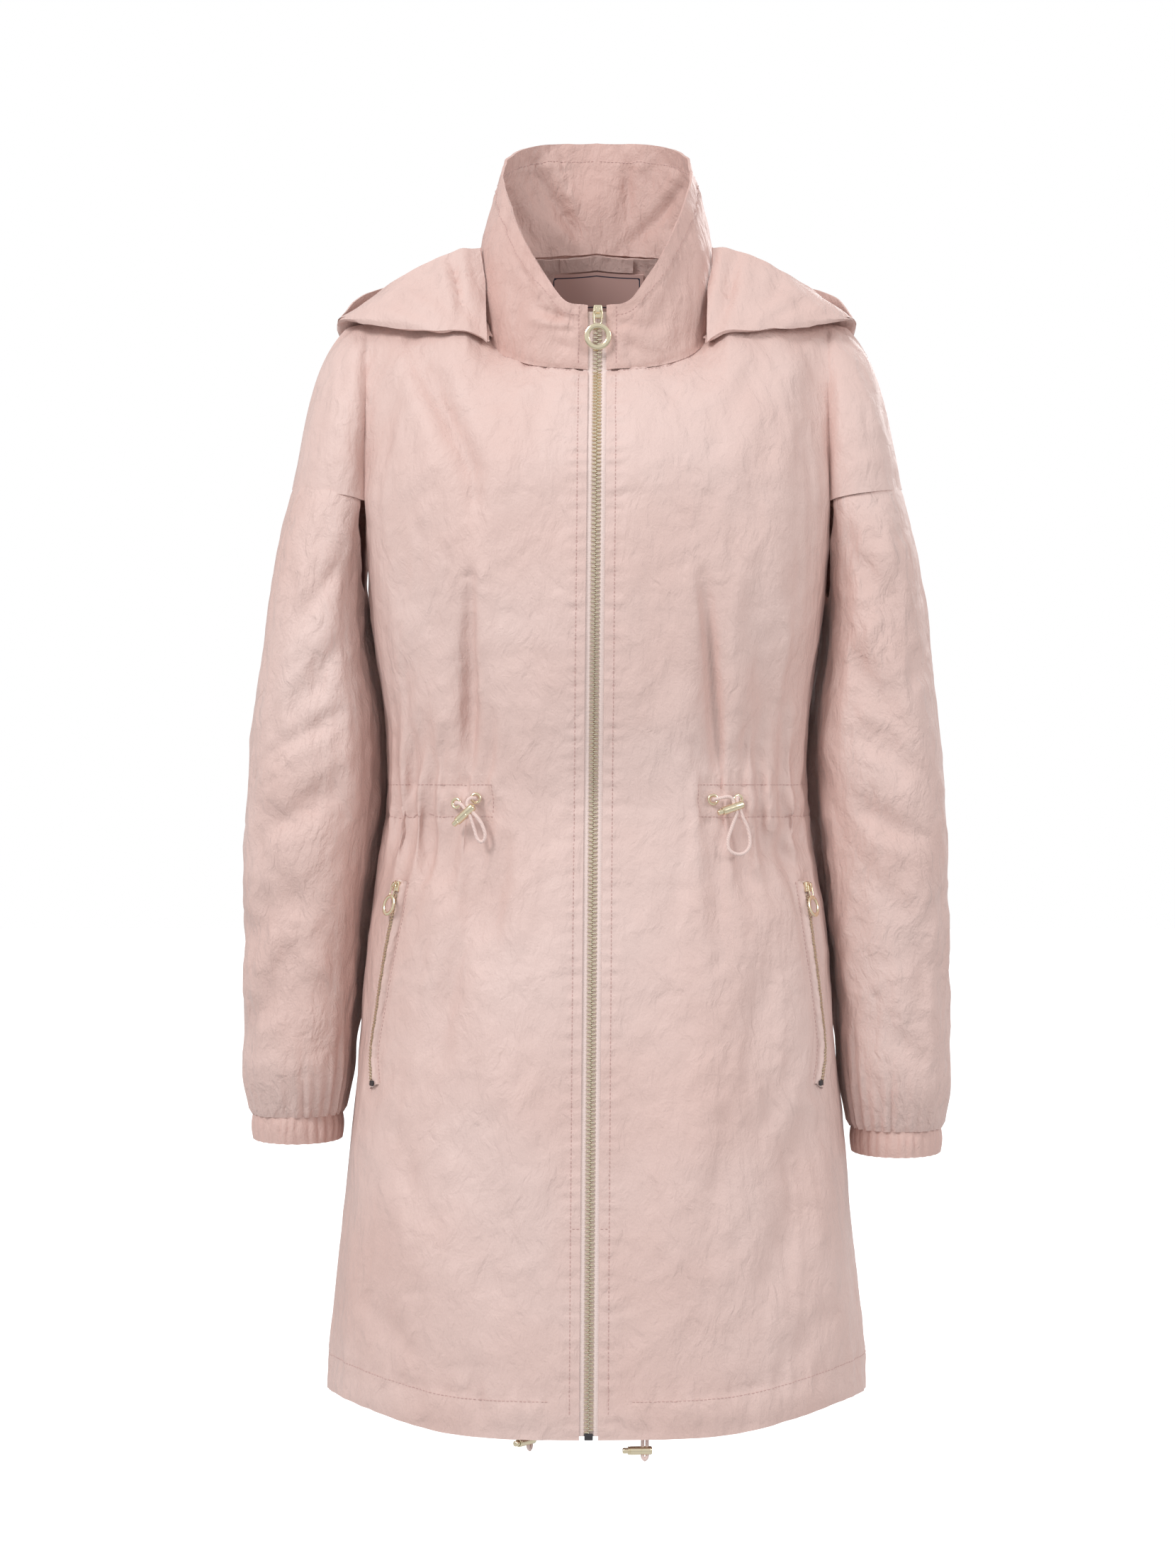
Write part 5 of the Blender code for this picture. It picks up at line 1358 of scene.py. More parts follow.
@dataclass
class Hood:
    """The hood, lying back on the shoulders and back: a lower layer, a fold and an upper layer to the rim."""

    thickness: float = 1.2 * MM
    stations: int = 84
    lower_count: int = 21
    upper_count: int = 34
    lower_lift: float = 5.0 * MM
    upper_lift: float = 5.6 * MM
    collar_lift: float = 1.6 * MM
    deepest_push: float = 0.03
    most_relief: float = 3.4 * MM
    sheet: ClothSheet = field(default_factory=ClothSheet)

    def pushed_clear(self, place: Vector, trees: list[BVHTree], gap: float) -> Vector:
        """The place, moved out where it is closer than the gap to a face or an edge below it."""
        for tree in trees:
            if tree is trees[-1]:
                gap = self.collar_lift
            near, normal, _, _ = tree.find_nearest(place)
            offset = place - near
            height = offset.dot(normal)
            beside = (offset - normal * height).length
            if beside < 1 * MM and -self.deepest_push < height < gap:
                place = place + normal * (gap - height)
            elif beside >= 1 * MM and offset.length < gap:
                place = place + offset.normalized() * (gap - offset.length)
        return place

    def section(self, side: int, step: float) -> np.ndarray:
        """One section, from the neck seam along the body, round the fold and up to the rim."""
        get = {name: float(HOOD.read("step", step, name)) for name in HOOD.data}
        seam = FORM.neck(1, get["neck_angle"])
        outward = unit(np.array((seam[0], seam[1], 0.0)))
        seam = seam + outward * 2.5 * MM + np.array((0, 0, 2.0 * MM))
        fold = np.array([get[f"fold_{axis}"] for axis in "xyz"])
        rim = np.array([get[f"rim_{axis}"] for axis in "xyz"])
        rim[0] -= 7 * MM * (1 - ramp(step, 0.0, 0.12))
        away = unit(np.array((fold[0], fold[1], 0.0)))
        points = []
        for share in np.linspace(0, 0.91, self.lower_count - 1):
            points.append(mix(seam, fold, share) + np.array((0, 0, 6 * MM * math.sin(math.pi * share))))
        points.append(fold + away * 2 * MM + np.array((0, 0, 2 * MM)))
        for share in np.linspace(0.06, 1.0, self.upper_count):
            bulge = get["bulge"] * math.sin(math.pi * min(share * 1.1, 1.0)) + 1.5 * MM
            points.append(mix(fold, rim, share) + away * bulge + np.array((0, 0, 4.5 * MM * (1 - share))))
        points = np.array(points)
        points[:, 0] *= side
        return points

    def build(self, trees: list[BVHTree]) -> None:
        """Makes the folded cloth, clear of what lies under it.

        Args:
            trees: The outer faces of the fronts, back and collar.
        """
        steps = np.linspace(0, 1, self.stations + 1)
        whole = [self.section(1, step) for step in steps] + [self.section(-1, step) for step in steps[-2::-1]]
        grid = np.array(whole)
        for _ in range(3):
            for row in grid:
                for j in range(len(row)):
                    gap = self.lower_lift if j < self.lower_count else self.upper_lift
                    row[j] = self.pushed_clear(Vector(row[j]), trees, gap)
            inside = grid[1:-1, 1:-1]
            around = (grid[:-2, 1:-1] + grid[2:, 1:-1] + grid[1:-1, :-2] + grid[1:-1, 2:]) / 4
            grid[1:-1, 1:-1] = mix(inside, around, 0.5)
        self.sheet.grid(grid)
        self.sheet.weld()
        places = self.sheet.places
        height = 0.8 * RELIEF.crinkles(places, 0.5)
        wing = (places[:, 1] < 0.03) & (np.abs(places[:, 0]) > 0.075)
        height += np.where(wing, fold_lift(HOOD_FOLDS, FACE_KEYS, places[:, 0], places[:, 2]), 0.0)
        self.sheet.raise_by(np.clip(height, -self.most_relief, self.most_relief))

    def dress(self) -> None:
        """Makes the piece in place of its solid."""
        held = {"held": "folded", "rests_on": ["back_cloth"]}
        self.sheet.dress("hood", self.thickness, "shell_nylon", (0.80, 0.42), **held)


@dataclass(frozen=True)
class Seat:
    """A frame on the cloth: a place with its directions across, up and out."""

    place: Vector
    across: Vector
    up: Vector
    out: Vector

    def at(self, across: float, up: float, out: float) -> Vector:
        """A point given by millimetres along the three directions."""
        return self.place + (self.across * across + self.up * up + self.out * out) * MM

    def matrix(self) -> Matrix:
        """Local X across, local Z up and local Y into the cloth."""
        made = Matrix.Identity(4)
        for i, axis in enumerate((self.across, -self.out, self.up)):
            made.col[i][:3] = axis
        made.col[3][:3] = self.place
        return made


class SolidFace:
    """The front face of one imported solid, where fittings are seated as they are on the solids."""

    def __init__(self, node: str) -> None:
        """Reads the node's faces."""
        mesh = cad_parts[node].data
        places = [vertex.co.copy() for vertex in mesh.vertices]
        self.tree = BVHTree.FromPolygons(places, [tuple(face.vertices) for face in mesh.polygons])

    def hit(self, x: float, drop: float) -> Vector | None:
        """The first point of the solid behind a place seen from the front."""
        return self.tree.ray_cast(Vector((x, -1.0, -drop)), Vector((0, 1, 0)))[0]

    def seat(self, x: float, drop: float, radius: float, span: float = 9 * MM) -> Seat:
        """A frame on the cloth, lifted until a disc lies clear of it.

        Args:
            x: Place across.
            drop: Place below the back neck seam.
            radius: The disc's radius.
            span: How far off the directions are measured.

        Returns:
            The frame.
        """
        centre = self.hit(x, drop)
        across = (self.hit(x + span, drop) - self.hit(x - span, drop)).normalized()
        up = (self.hit(x, drop - span) - self.hit(x, drop + span)).normalized()
        out = across.cross(up).normalized()
        up = out.cross(across).normalized()
        lift = 0.0
        for i in range(16):
            turn = 2 * math.pi * i / 16
            for share in (0.5, 1.0):
                aim = centre + (across * math.cos(turn) + up * math.sin(turn)) * radius * share
                hit = self.hit(aim.x, -aim.z)
                if hit is not None:
                    lift = max(lift, (hit - centre).dot(out))
        return Seat(centre + out * (lift + 0.35 * MM), across, up, out)


class Solid:
    """Small hard shapes gathered into one mesh object."""

    def __init__(self, name: str, finish: str, angle: float = 40.0) -> None:
        """Starts empty, with the object's name, its finish and the angle of its sharp edges."""
        self.name = name
        self.finish = finish
        self.angle = angle
        self.places: list[Vector] = []
        self.faces: list[tuple[int, ...]] = []

    def add(self, places: list[Vector], faces: list[tuple[int, ...]]) -> None:
        """Adds a closed shape."""
        start = len(self.places)
        self.places += [Vector(place) for place in places]
        self.faces += [tuple(i + start for i in face) for face in faces]

    def rings(self, rings: list[list[Vector]], closed: bool = False) -> None:
        """Adds a shape through rings of points with the same count, capped unless it closes on itself."""
        count = len(rings[0])
        places = [place for ring in rings for place in ring]
        faces = []
        spans = len(rings) if closed else len(rings) - 1
        for r in range(spans):
            low, high = r * count, (r + 1) % len(rings) * count
            for i in range(count):
                j = (i + 1) % count
                faces.append((low + i, low + j, high + j, high + i))
        if not closed:
            last = (len(rings) - 1) * count
            faces.append(tuple(range(count))[::-1])
            faces.append(tuple(last + i for i in range(count)))
        self.add(places, faces)

    def turned(self, matrix: Matrix, profile: list[tuple], segments: int, closed: bool = False) -> None:
        """Adds a profile of radius and height pairs spun about the matrix's Z."""
        rings = []
        for radius, height in profile:
            ring = []
            for i in range(segments):
                turn = 2 * math.pi * i / segments
                ring.append(matrix @ Vector((radius * math.cos(turn), radius * math.sin(turn), height)))
            rings.append(ring)
        self.rings(rings, closed)

    def tube(self, path: list[Vector], radius: float, closed: bool = False, segments: int = 10) -> None:
        """Adds a round tube along a path."""
        rings = []
        count = len(path)
        normal = None
        for i, place in enumerate(path):
            after = path[(i + 1) % count] if closed else path[min(i + 1, count - 1)]
            before = path[i - 1] if closed or i else path[0]
            run = (after - before).normalized()
            if normal is None:
                normal = run.orthogonal().normalized()
            normal = (normal - run * normal.dot(run)).normalized()
            side = run.cross(normal)
            ring = []
            for j in range(segments):
                turn = 2 * math.pi * j / segments
                ring.append(place + (normal * math.cos(turn) + side * math.sin(turn)) * radius)
            rings.append(ring)
        self.rings(rings, closed)

    def build(self) -> bpy.types.Object:
        """Makes the object, with all faces pointing out."""
        item = add_piece(self.name, self.places, self.faces, self.finish, angle=self.angle)
        shape = bmesh.new()
        shape.from_mesh(item.data)
        bmesh.ops.recalc_face_normals(shape, faces=shape.faces)
        shape.to_mesh(item.data)
        shape.free()
        return item


@dataclass
class Stitching:
    """Rows of thread on the finished cloth."""

    placket: float = 13.6 * MM
    channel: tuple[float, float] = (0.3985, 0.4215)
    casing: float = 17 * MM
    length: float = 2.1 * MM
    gap: float = 0.9 * MM
    radius: float = 0.22 * MM

    def row(self, solid: Solid, line: np.ndarray, tree: BVHTree, behind: float = 0.0) -> None:
        """Lays stitches along a line on the cloth's outer side, or on its inner side.

        Args:
            solid: Where the stitches are added.
            line: Points close to the cloth.
            tree: The cloth's outer side.
            behind: The cloth's thickness, for stitches on the inner side.
        """
        along = along_line(line)
        pitch = self.length + self.gap
        for start in np.arange(0, along[-1] - self.length, pitch):
            path = []
            for share, depth in ((0, -0.1), (0.25, 0.16), (0.75, 0.16), (1, -0.1)):
                near, normal, _, _ = tree.find_nearest(on_line(line, along, start + self.length * share))
                path.append(near + normal * (-behind - depth * MM if behind else depth * MM))
            solid.tube(path, self.radius, segments=5)


@dataclass
class ZipSize:
    """Sizes of a zip's teeth."""

    pitch: float = 3.1 * MM
    reach: float = 3.0 * MM
    depth: float = 2.1 * MM
    height: float = 1.25 * MM
    nose: float = 0.55 * MM


class TeethRow:
    """Two interlocking rows of bevelled metal teeth along a line."""

    def __init__(self, name: str, size: ZipSize) -> None:
        """Starts the teeth's mesh."""
        self.solid = Solid(name, "teeth_gold", 30.0)
        self.size = size

    def tooth(self, seat: Seat, way: int) -> None:
        """Adds one tooth, reaching in from one side to just past the middle."""
        size = self.size
        half = size.height / 2
        outline = [
            (-size.reach, -half * 0.9),
            (-size.nose * 2.2, -half * 0.9),
            (-size.nose * 0.9, -half * 1.25),
            (size.nose, -half * 0.6),
            (size.nose, half * 0.6),
            (-size.nose * 0.9, half * 1.25),
            (-size.nose * 2.2, half * 0.9),
            (-size.reach, half * 0.9),
        ]
        rings = []
        for out, inset in ((-size.depth, 0.85), (-size.depth * 0.25, 1.0), (0.0, 0.72)):
            ring = []
            for x, z in outline:
                inner = -size.reach / 2 + (x + size.reach / 2) * (0.5 + inset / 2)
                ring.append(seat.place + seat.across * -way * inner + seat.up * z * inset + seat.out * out)
            rings.append(ring)
        self.solid.rings(rings)

    def build(self, seats: list[Seat], body: str, node: str) -> bpy.types.Object:
        """Lays teeth at alternate sides along close seats.

        Args:
            seats: Frames along the zip, half a pitch apart.
            body: The body that the teeth ride on.
            node: The solid that they stand for.

        Returns:
            The teeth as one object.
        """
        for i, seat in enumerate(seats):
            self.tooth(seat, 1 if i % 2 else -1)
        item = self.solid.build()
        declare(item, node, body)
        return item


class CentreFront:
    """The line that the front zip follows, from the hem to the collar's top."""

    def __init__(self) -> None:
        """Works the line out from the body, the yoke and the collar."""
        drops = np.linspace(HEM_DROP, ARM_DROP, 300)
        low = FORM.low(1, np.zeros(300), FORM.row_drop(0.0, drops))
        low[:, 0] -= ZIP_EDGE
        high = FORM.high(1, True, np.array([0.0]), np.linspace(0, 1, 60))[1:, 0]
        collar = FORM.collar(1, 0.0, np.linspace(0.1, 1, 16))
        upper = np.vstack([high, collar])
        upper[:, 0] = DRIFT.read("drop", -upper[:, 2], "shift")
        self.points = np.vstack([low, upper])
        self.along = along_line(self.points)

    def point(self, along: float) -> Vector:
        """The line's point at a distance from the hem."""
        return on_line(self.points, self.along, along)

    def at_height(self, z: float) -> float:
        """The distance from the hem at which the line reaches a height."""
        return float(np.interp(z, self.points[:, 2], self.along))

    def seats(self, low_z: float, high_z: float, step: float, behind: float) -> list[Seat]:
        """Frames along a stretch of the line.

        Args:
            low_z: Height of the stretch's lower end.
            high_z: Height of its upper end.
            step: How far apart the frames are.
            behind: How far they lie behind the line.

        Returns:
            The frames, from the bottom up.
        """
        start, end = self.at_height(low_z), self.at_height(high_z)
        found = []
        for i in range(int((end - start) / step)):
            along = start + (i + 0.5) * step
            up = (self.point(along + 3 * MM) - self.point(along - 3 * MM)).normalized()
            across = Vector((1, 0, 0))
            out = across.cross(up).normalized()
            found.append(Seat(self.point(along) - out * behind, across, up, out))
        return found


@dataclass
class PullSize:
    """Sizes of a zip's pull: a link and a plain ring."""

    ring_outer: float
    ring_inner: float
    ring_drop: float
    squeeze: float
    scale: float


@dataclass
class Pull:
    """A pull that swings on its slider: a link round the hinge line and a plain ring."""

    node: str
    seat: Seat
    size: PullSize

    def build(self) -> bpy.types.Object:
        """Makes the pull in place of its solid."""
        size = self.size
        solid = Solid(f"{self.node}_metal", "pale_gold")
        matrix = self.seat.matrix()
        middle = (size.ring_outer + size.ring_inner) / 2
        thick = (size.ring_outer - size.ring_inner) / 2
        rings = []
        for i in range(56):
            turn = 2 * math.pi * i / 56
            spoke = Vector((math.cos(turn) * size.squeeze, 0, math.sin(turn)))
            ring = []
            for j in range(14):
                tilt = 2 * math.pi * j / 14
                flat = math.copysign(abs(math.sin(tilt)) ** 0.7, math.sin(tilt))
                radius = middle + thick * math.cos(tilt)
                local = spoke * radius + Vector((0, 0.8 * MM * flat, -size.ring_drop))
                ring.append(matrix @ local)
            rings.append(ring)
        solid.rings(rings, closed=True)
        bar = 0.62 * MM * size.scale
        half = 3.75 * MM * size.scale - bar
        end = -(size.ring_drop - size.ring_outer + 0.9 * MM)
        corners = [(-half, 0.0), (half, 0.0), (half * 0.8, end), (-half * 0.8, end)]
        path = []
        for i, (x, z) in enumerate(corners):
            after = corners[(i + 1) % 4]
            for share in (0.12, 0.3, 0.5, 0.7, 0.88):
                path.append(matrix @ Vector((mix(x, after[0], share), 0, mix(z, after[1], share))))
        solid.tube(path, bar, closed=True, segments=12)
        item = solid.build()
        declare(item, self.node, f"{self.node}_body")
        return item


@dataclass
class CordLock:
    """A cord lock whose barrel stays on its cord and whose plunger slides."""

    kind: str
    side: Side
    radius: float = 3.0 * MM
    length: float = 17.0 * MM
    stem: float = 2.0 * MM
    stem_out: float = 3.8 * MM

    def __post_init__(self) -> None:
        """Finds the barrel's axis from the two solids."""
        self.barrel = f"{self.kind}_lock_{self.side.word}"
        self.plunger = f"{self.kind}_plunger_{self.side.word}"
        low, high = (np.array(corner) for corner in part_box(self.barrel))
        tip_low, tip_high = (np.array(corner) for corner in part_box(self.plunger))
        middle = Vector((low + high) / 2)
        self.axis = (Vector((tip_low + tip_high) / 2) - middle).normalized()
        self.base = middle - self.axis * self.length / 2

    def matrix(self) -> Matrix:
        """Local Z along the barrel from its closed end."""
        made = self.axis.to_track_quat("Z", "Y").to_matrix().to_4x4()
        made.col[3][:3] = self.base
        return made

    def build(self) -> tuple[bpy.types.Object, bpy.types.Object]:
        """Makes the barrel and its plunger in place of their solids."""
        r, length = self.radius, self.length
        matrix = self.matrix()
        barrel = Solid(f"{self.barrel}_metal", "pale_gold")
        profile = [
            (0.4 * r, 0.0), (0.72 * r, 0.05 * MM), (0.9 * r, 0.35 * MM), (r, 1.1 * MM), (r, length * 0.42),
            (r * 0.95, length * 0.43), (r * 0.95, length * 0.45), (r, length * 0.46), (r, length - 1.7 * MM),
            (r * 0.93, length - 1.5 * MM), (r * 0.93, length - 1.2 * MM), (r, length - 1.0 * MM),
            (r * 0.97, length - 0.2 * MM), (r * 0.88, length), (0.75 * r, length), (0.74 * r, length - 2 * MM),
        ]  # fmt: skip
        barrel.turned(matrix, profile, 36)
        plunger = Solid(f"{self.plunger}_metal", "pale_gold")
        p, tip = self.stem, length + self.stem_out
        stem = [
            (0.9 * p, length - 2.0 * MM), (p, length - 1.8 * MM), (p, tip - 0.9 * MM), (0.93 * p, tip - 0.35 * MM),
            (0.75 * p, tip - 0.05 * MM), (0.4 * p, tip),
        ]  # fmt: skip
        plunger.turned(matrix, stem, 28)
        made = barrel.build(), plunger.build()
        declare(made[0], self.barrel)
        declare(made[1], self.plunger, f"{self.plunger}_body")
        return made


# Routes of the waist cords from the seat of the lock, in millimetres across, up and out
WAIST_PLACE = {Side.RIGHT: (-0.0880, 0.4172), Side.LEFT: (0.0968, 0.4153)}
WAIST_EYELETS = {Side.RIGHT: ((-11.7, 5.1), (2.5, 8.7)), Side.LEFT: ((-15.7, 5.6), (3.0, 5.6))}
WAIST_ROUTES = {
    Side.RIGHT: (
        (-11.7, 5.1, 1.2), (-11.6, 5.2, 2.6), (-10.6, 5.4, 4.4), (-8.0, 5.2, 5.8), (-5.4, 3.6, 6.4),
        (-3.24, 1.41, 6.5), (-1.12, -0.99, 6.5), (1.0, -3.39, 6.5), (2.6, -8.0, 6.0), (4.4, -14.0, 5.2),
        (6.0, -19.0, 4.8), (8.8, -22.4, 4.6), (11.6, -21.0, 4.6), (12.2, -16.0, 4.8), (9.5, -9.0, 5.6),
        (6.0, -4.4, 6.2), (3.24, -1.41, 6.5), (1.12, 0.99, 6.5), (-1.0, 3.39, 6.5), (-1.5, 6.0, 6.2),
        (-0.4, 8.4, 5.2), (1.6, 9.0, 3.6), (2.5, 8.7, 2.2), (2.5, 8.7, 1.2),
    ),
    Side.LEFT: (
        (-15.7, 5.6, 1.2), (-15.6, 5.7, 2.6), (-14.4, 5.9, 4.6), (-11.0, 6.6, 6.0), (-6.5, 7.2, 6.5),
        (-3.6, 5.8, 6.5), (-2.43, 2.57, 6.5), (-1.42, -0.47, 6.5), (-0.41, -3.5, 6.5), (-1.8, -8.0, 6.2),
        (-5.0, -16.0, 5.6), (-7.6, -24.0, 5.0), (-6.8, -30.5, 4.8), (-1.5, -33.8, 4.8), (4.5, -33.2, 4.8),
        (8.8, -28.5, 4.8), (9.3, -22.0, 5.0), (7.6, -14.5, 5.6), (4.4, -8.0, 6.2), (2.43, -2.57, 6.5),
        (1.42, 0.47, 6.5), (0.41, 3.5, 6.5), (0.4, 5.8, 6.0), (1.6, 6.8, 4.8), (2.8, 6.2, 3.4),
        (3.0, 5.6, 2.2), (3.0, 5.6, 1.2),
    ),
}  # fmt: skip
HEM_PLACE = {Side.RIGHT: Vector((-0.0476, -0.1395, -0.8590)), Side.LEFT: Vector((0.0332, -0.1450, -0.8650))}
HEM_TURN = {Side.RIGHT: 50.0, Side.LEFT: 4.0}
HEM_RUN = {Side.RIGHT: 0.012, Side.LEFT: 0.0185}
STRAND_APART = 1.55 * MM


class ElasticCord:
    """A braided elastic cord along a smooth route."""

    radius = 1.3 * MM

    def __init__(self, name: str, route: list[Vector]) -> None:
        """Keeps the cord's name and its route's points."""
        self.name = name
        self.route = self.smooth(route, 1.5 * MM)

    @staticmethod
    def smooth(points: list[Vector], spacing: float) -> list[Vector]:
        """Evenly spaced points of a smooth curve through the route's own points."""
        fine = []
        for i in range(len(points) - 1):
            before, after = points[max(i - 1, 0)], points[min(i + 2, len(points) - 1)]
            start, end = points[i], points[i + 1]
            start_slope = (end - before) * (0.5 if i else 1.0)
            end_slope = (after - start) * (0.5 if i < len(points) - 2 else 1.0)
            fine += [hermite(start, start_slope, end, end_slope, step / 12) for step in range(12)]
        fine.append(points[-1])
        line = np.array(fine)
        along = along_line(line)
        count = max(2, round(along[-1] / spacing))
        return [on_line(line, along, at) for at in np.linspace(0, along[-1], count + 1)]

    def length(self) -> float:
        """The route's length."""
        return sum((after - before).length for before, after in zip(self.route, self.route[1:]))

    def build(self, pieces: list[bpy.types.Object]) -> bpy.types.Object:
        """Args:
            pieces: The lock and plunger on it; not used.

        Returns:
            The cord.
        """
        curve = bpy.data.curves.new(f"{self.name}_braid", "CURVE")
        curve.dimensions = "3D"
        curve.bevel_depth = self.radius
        curve.bevel_resolution = 4
        curve.use_fill_caps = True
        spline = curve.splines.new("POLY")
        spline.points.add(len(self.route) - 1)
        for point, place in zip(spline.points, self.route):
            point.co = (*place, 1)
        curve.materials.append(finish_material("cord_braid"))
        item = bpy.data.objects.new(f"{self.name}_braid", curve)
        bpy.context.scene.collection.objects.link(item)
        declare(item, self.name)
        round(self.length(), 3)
        return item


def ribbon(
    name: str, node: str, seats: list[Seat], outline: tuple[tuple[float, float], ...], way: int = 1
) -> None:
    """Makes a flat woven band with softly rounded edges.

    Args:
        name: The band's name.
        node: The solid that it stands for.
        seats: Frames along it.
        outline: Its cross-section, in millimetres across and out.
        way: The sign of the side it lies on.
    """
    solid = Solid(name, "ribbon_weave", 60.0)
    solid.rings([[seat.at(way * across, 0.0, out) for across, out in outline] for seat in seats])
    declare(solid.build(), node)


class MainZip:
    """The front zip: tapes, teeth, slider, pull and box."""

    pull_size = PullSize(9.7 * MM, 6.1 * MM, 19.0 * MM, 1.0, 1.0)
    hinge_out = 4.4 * MM
    hinge_z = -0.0563
    chain_top = -0.0640
    box_top = -0.8520
    chain_front = 0.4 * MM
    tape_outline = (
        (0.12, -3.4), (0.12, -2.6), (0.6, -2.4), (2.8, -2.4), (3.3, -1.7), (4.0, -1.5), (9.8, -1.5), (10.2, -1.8),
        (10.2, -3.1), (9.8, -3.4),
    )  # fmt: skip

    def __init__(self, line: CentreFront) -> None:
        """Keeps the line that the zip follows."""
        self.line = line

    def build(self) -> None:
        """Makes the zip's pieces in place of their solids."""
        hem_z, top_z = self.line.points[0, 2], self.line.points[-1, 2]
        tape_seats = self.line.seats(hem_z + 0.8 * MM, top_z - 0.8 * MM, 4 * MM, 0.0)
        for side in Side:
            node = f"zip_tape_{side.word}"
            ribbon(f"{node}_ribbon", node, tape_seats, self.tape_outline, side.value)
        size = ZipSize()
        seats = self.line.seats(self.box_top + 0.3 * MM, self.chain_top, size.pitch / 2, self.chain_front)
        TeethRow("zip_chain_teeth", size).build(seats, "garment", "zip_chain")
        place = self.line.point(self.line.at_height(self.hinge_z))
        out = Vector((0, -1, 0))
        hinge = Seat(place + out * self.hinge_out, Vector((1, 0, 0)), Vector((0, 0, 1)), out)
        Pull("zip_pull", hinge, self.pull_size).build()
        LOG.info("front zip with %d teeth", len(seats))


class PocketZip:
    """A slanted zip pocket: tape, small teeth, cloth lips, pull and end stop."""

    tape_half = 4.6 * MM
    tape_outline = (
        (-4.6, 0.5), (-4.6, 1.0), (-4.3, 1.2), (0.0, 1.2), (4.3, 1.2), (4.6, 1.0), (4.6, 0.5), (4.3, 0.3),
        (0.0, 0.3), (-4.3, 0.3),
    )  # fmt: skip
    pull_size = PullSize(8.0 * MM, 5.0 * MM, 15.5 * MM, 0.82, 0.78)
    teeth = ZipSize(2.3 * MM, 2.3 * MM, 1.3 * MM, 0.9 * MM, 0.4 * MM)
    count = 96

    def __init__(self, side: Side, face: SolidFace) -> None:
        """Seats the zip along its line on the front."""
        self.side = side
        rows = POCKET_LINES[side]
        self.coarse = []
        for drop in np.linspace(rows["drop"][0], rows["drop"][-1], 17):
            self.coarse.append(face.seat(float(rows.read("drop", drop, "x")), float(drop), self.tape_half, 7 * MM))
        self.seats = self.fine(self.coarse)

    def fine(self, coarse: list[Seat]) -> list[Seat]:
        """Seats at even steps between the coarse ones, turned to run along the pocket's line."""
        found = []
        for at in np.linspace(0, len(coarse) - 1, self.count + 1):
            i = min(int(at), len(coarse) - 2)
            share = at - i
            one, two = coarse[i], coarse[i + 1]
            place = one.place.lerp(two.place, share)
            out = one.out.lerp(two.out, share).normalized()
            run = coarse[max(i - 1, 0)].place - coarse[min(i + 2, len(coarse) - 1)].place
            up = (run - out * run.dot(out)).normalized()
            across = up.cross(out)
            across = -across if across.x < 0 else across
            found.append(Seat(place, across.normalized(), up, out))
        return found

    def line(self, away: float) -> np.ndarray:
        """A row of points beside the zip."""
        return np.array([seat.place + seat.across * away for seat in self.seats])

    def lip(self, way: int) -> None:
        """Makes the folded edge of cloth that meets the teeth from one side."""
        solid = Solid(f"pocket_lip_{self.side.word}_{'outer' if way > 0 else 'inner'}", "shell_nylon", 60.0)
        outline = (
            (2.1, 1.3), (2.1, 2.1), (2.5, 2.6), (3.4, 2.7), (4.4, 2.2), (5.2, 1.2), (5.9, 0.0), (6.6, -3.0),
            (5.3, -3.0), (4.9, 0.6), (4.9, 1.3),
        )  # fmt: skip
        rings = []
        for i, seat in enumerate(self.seats):
            wave = 1 + 0.07 * math.sin(i * 0.83) + 0.05 * math.sin(i * 2.1 + way)
            ends = min(i, len(self.seats) - 1 - i) / 3
            rise = 0.35 + 0.65 * min(ends, 1.0)
            ring = []
            for across, out in outline:
                height = out * wave * rise if out > 1.5 else out
                ring.append(seat.at(way * across, 0.0, height))
            rings.append(ring)
        solid.rings(rings)
        declare(solid.build())

    def build(self) -> None:
        """Makes the zip's pieces."""
        word = self.side.word
        ribbon(f"pocket_tape_{word}_ribbon", f"pocket_tape_{word}", self.seats, self.tape_outline)
        for way in (1, -1):
            self.lip(way)
        place = [seat.place for seat in self.seats]
        along = np.concatenate([[0], np.cumsum([(b - a).length for a, b in zip(place, place[1:])])])
        step = self.teeth.pitch / 2
        chain = []
        for at in np.arange(along[-1] * 0.07, along[-1] * 0.975, step):
            i = int(np.clip(np.searchsorted(along, at) - 1, 0, len(place) - 2))
            share = (at - along[i]) / (along[i + 1] - along[i])
            near = self.seats[i]
            spot = place[i].lerp(place[i + 1], share) + near.out * 2.75 * MM
            chain.append(Seat(spot, near.across, near.up, near.out))
        TeethRow(f"pocket_chain_{word}_teeth", self.teeth).build(chain, "garment", f"pocket_chain_{word}")
        first = self.coarse[0]
        run = (self.coarse[0].place - self.coarse[2].place).normalized()
        up = (run - first.out * run.dot(first.out)).normalized()
        across = up.cross(first.out).normalized()
        across = -across if across.x < 0 else across
        hinge = first.place - up * 4.2 * MM + first.out * 5.4 * MM
        Pull(f"pocket_pull_{word}", Seat(hinge, across, up, first.out), self.pull_size).build()
        LOG.info("pocket zip %s with %d teeth", word, len(chain))


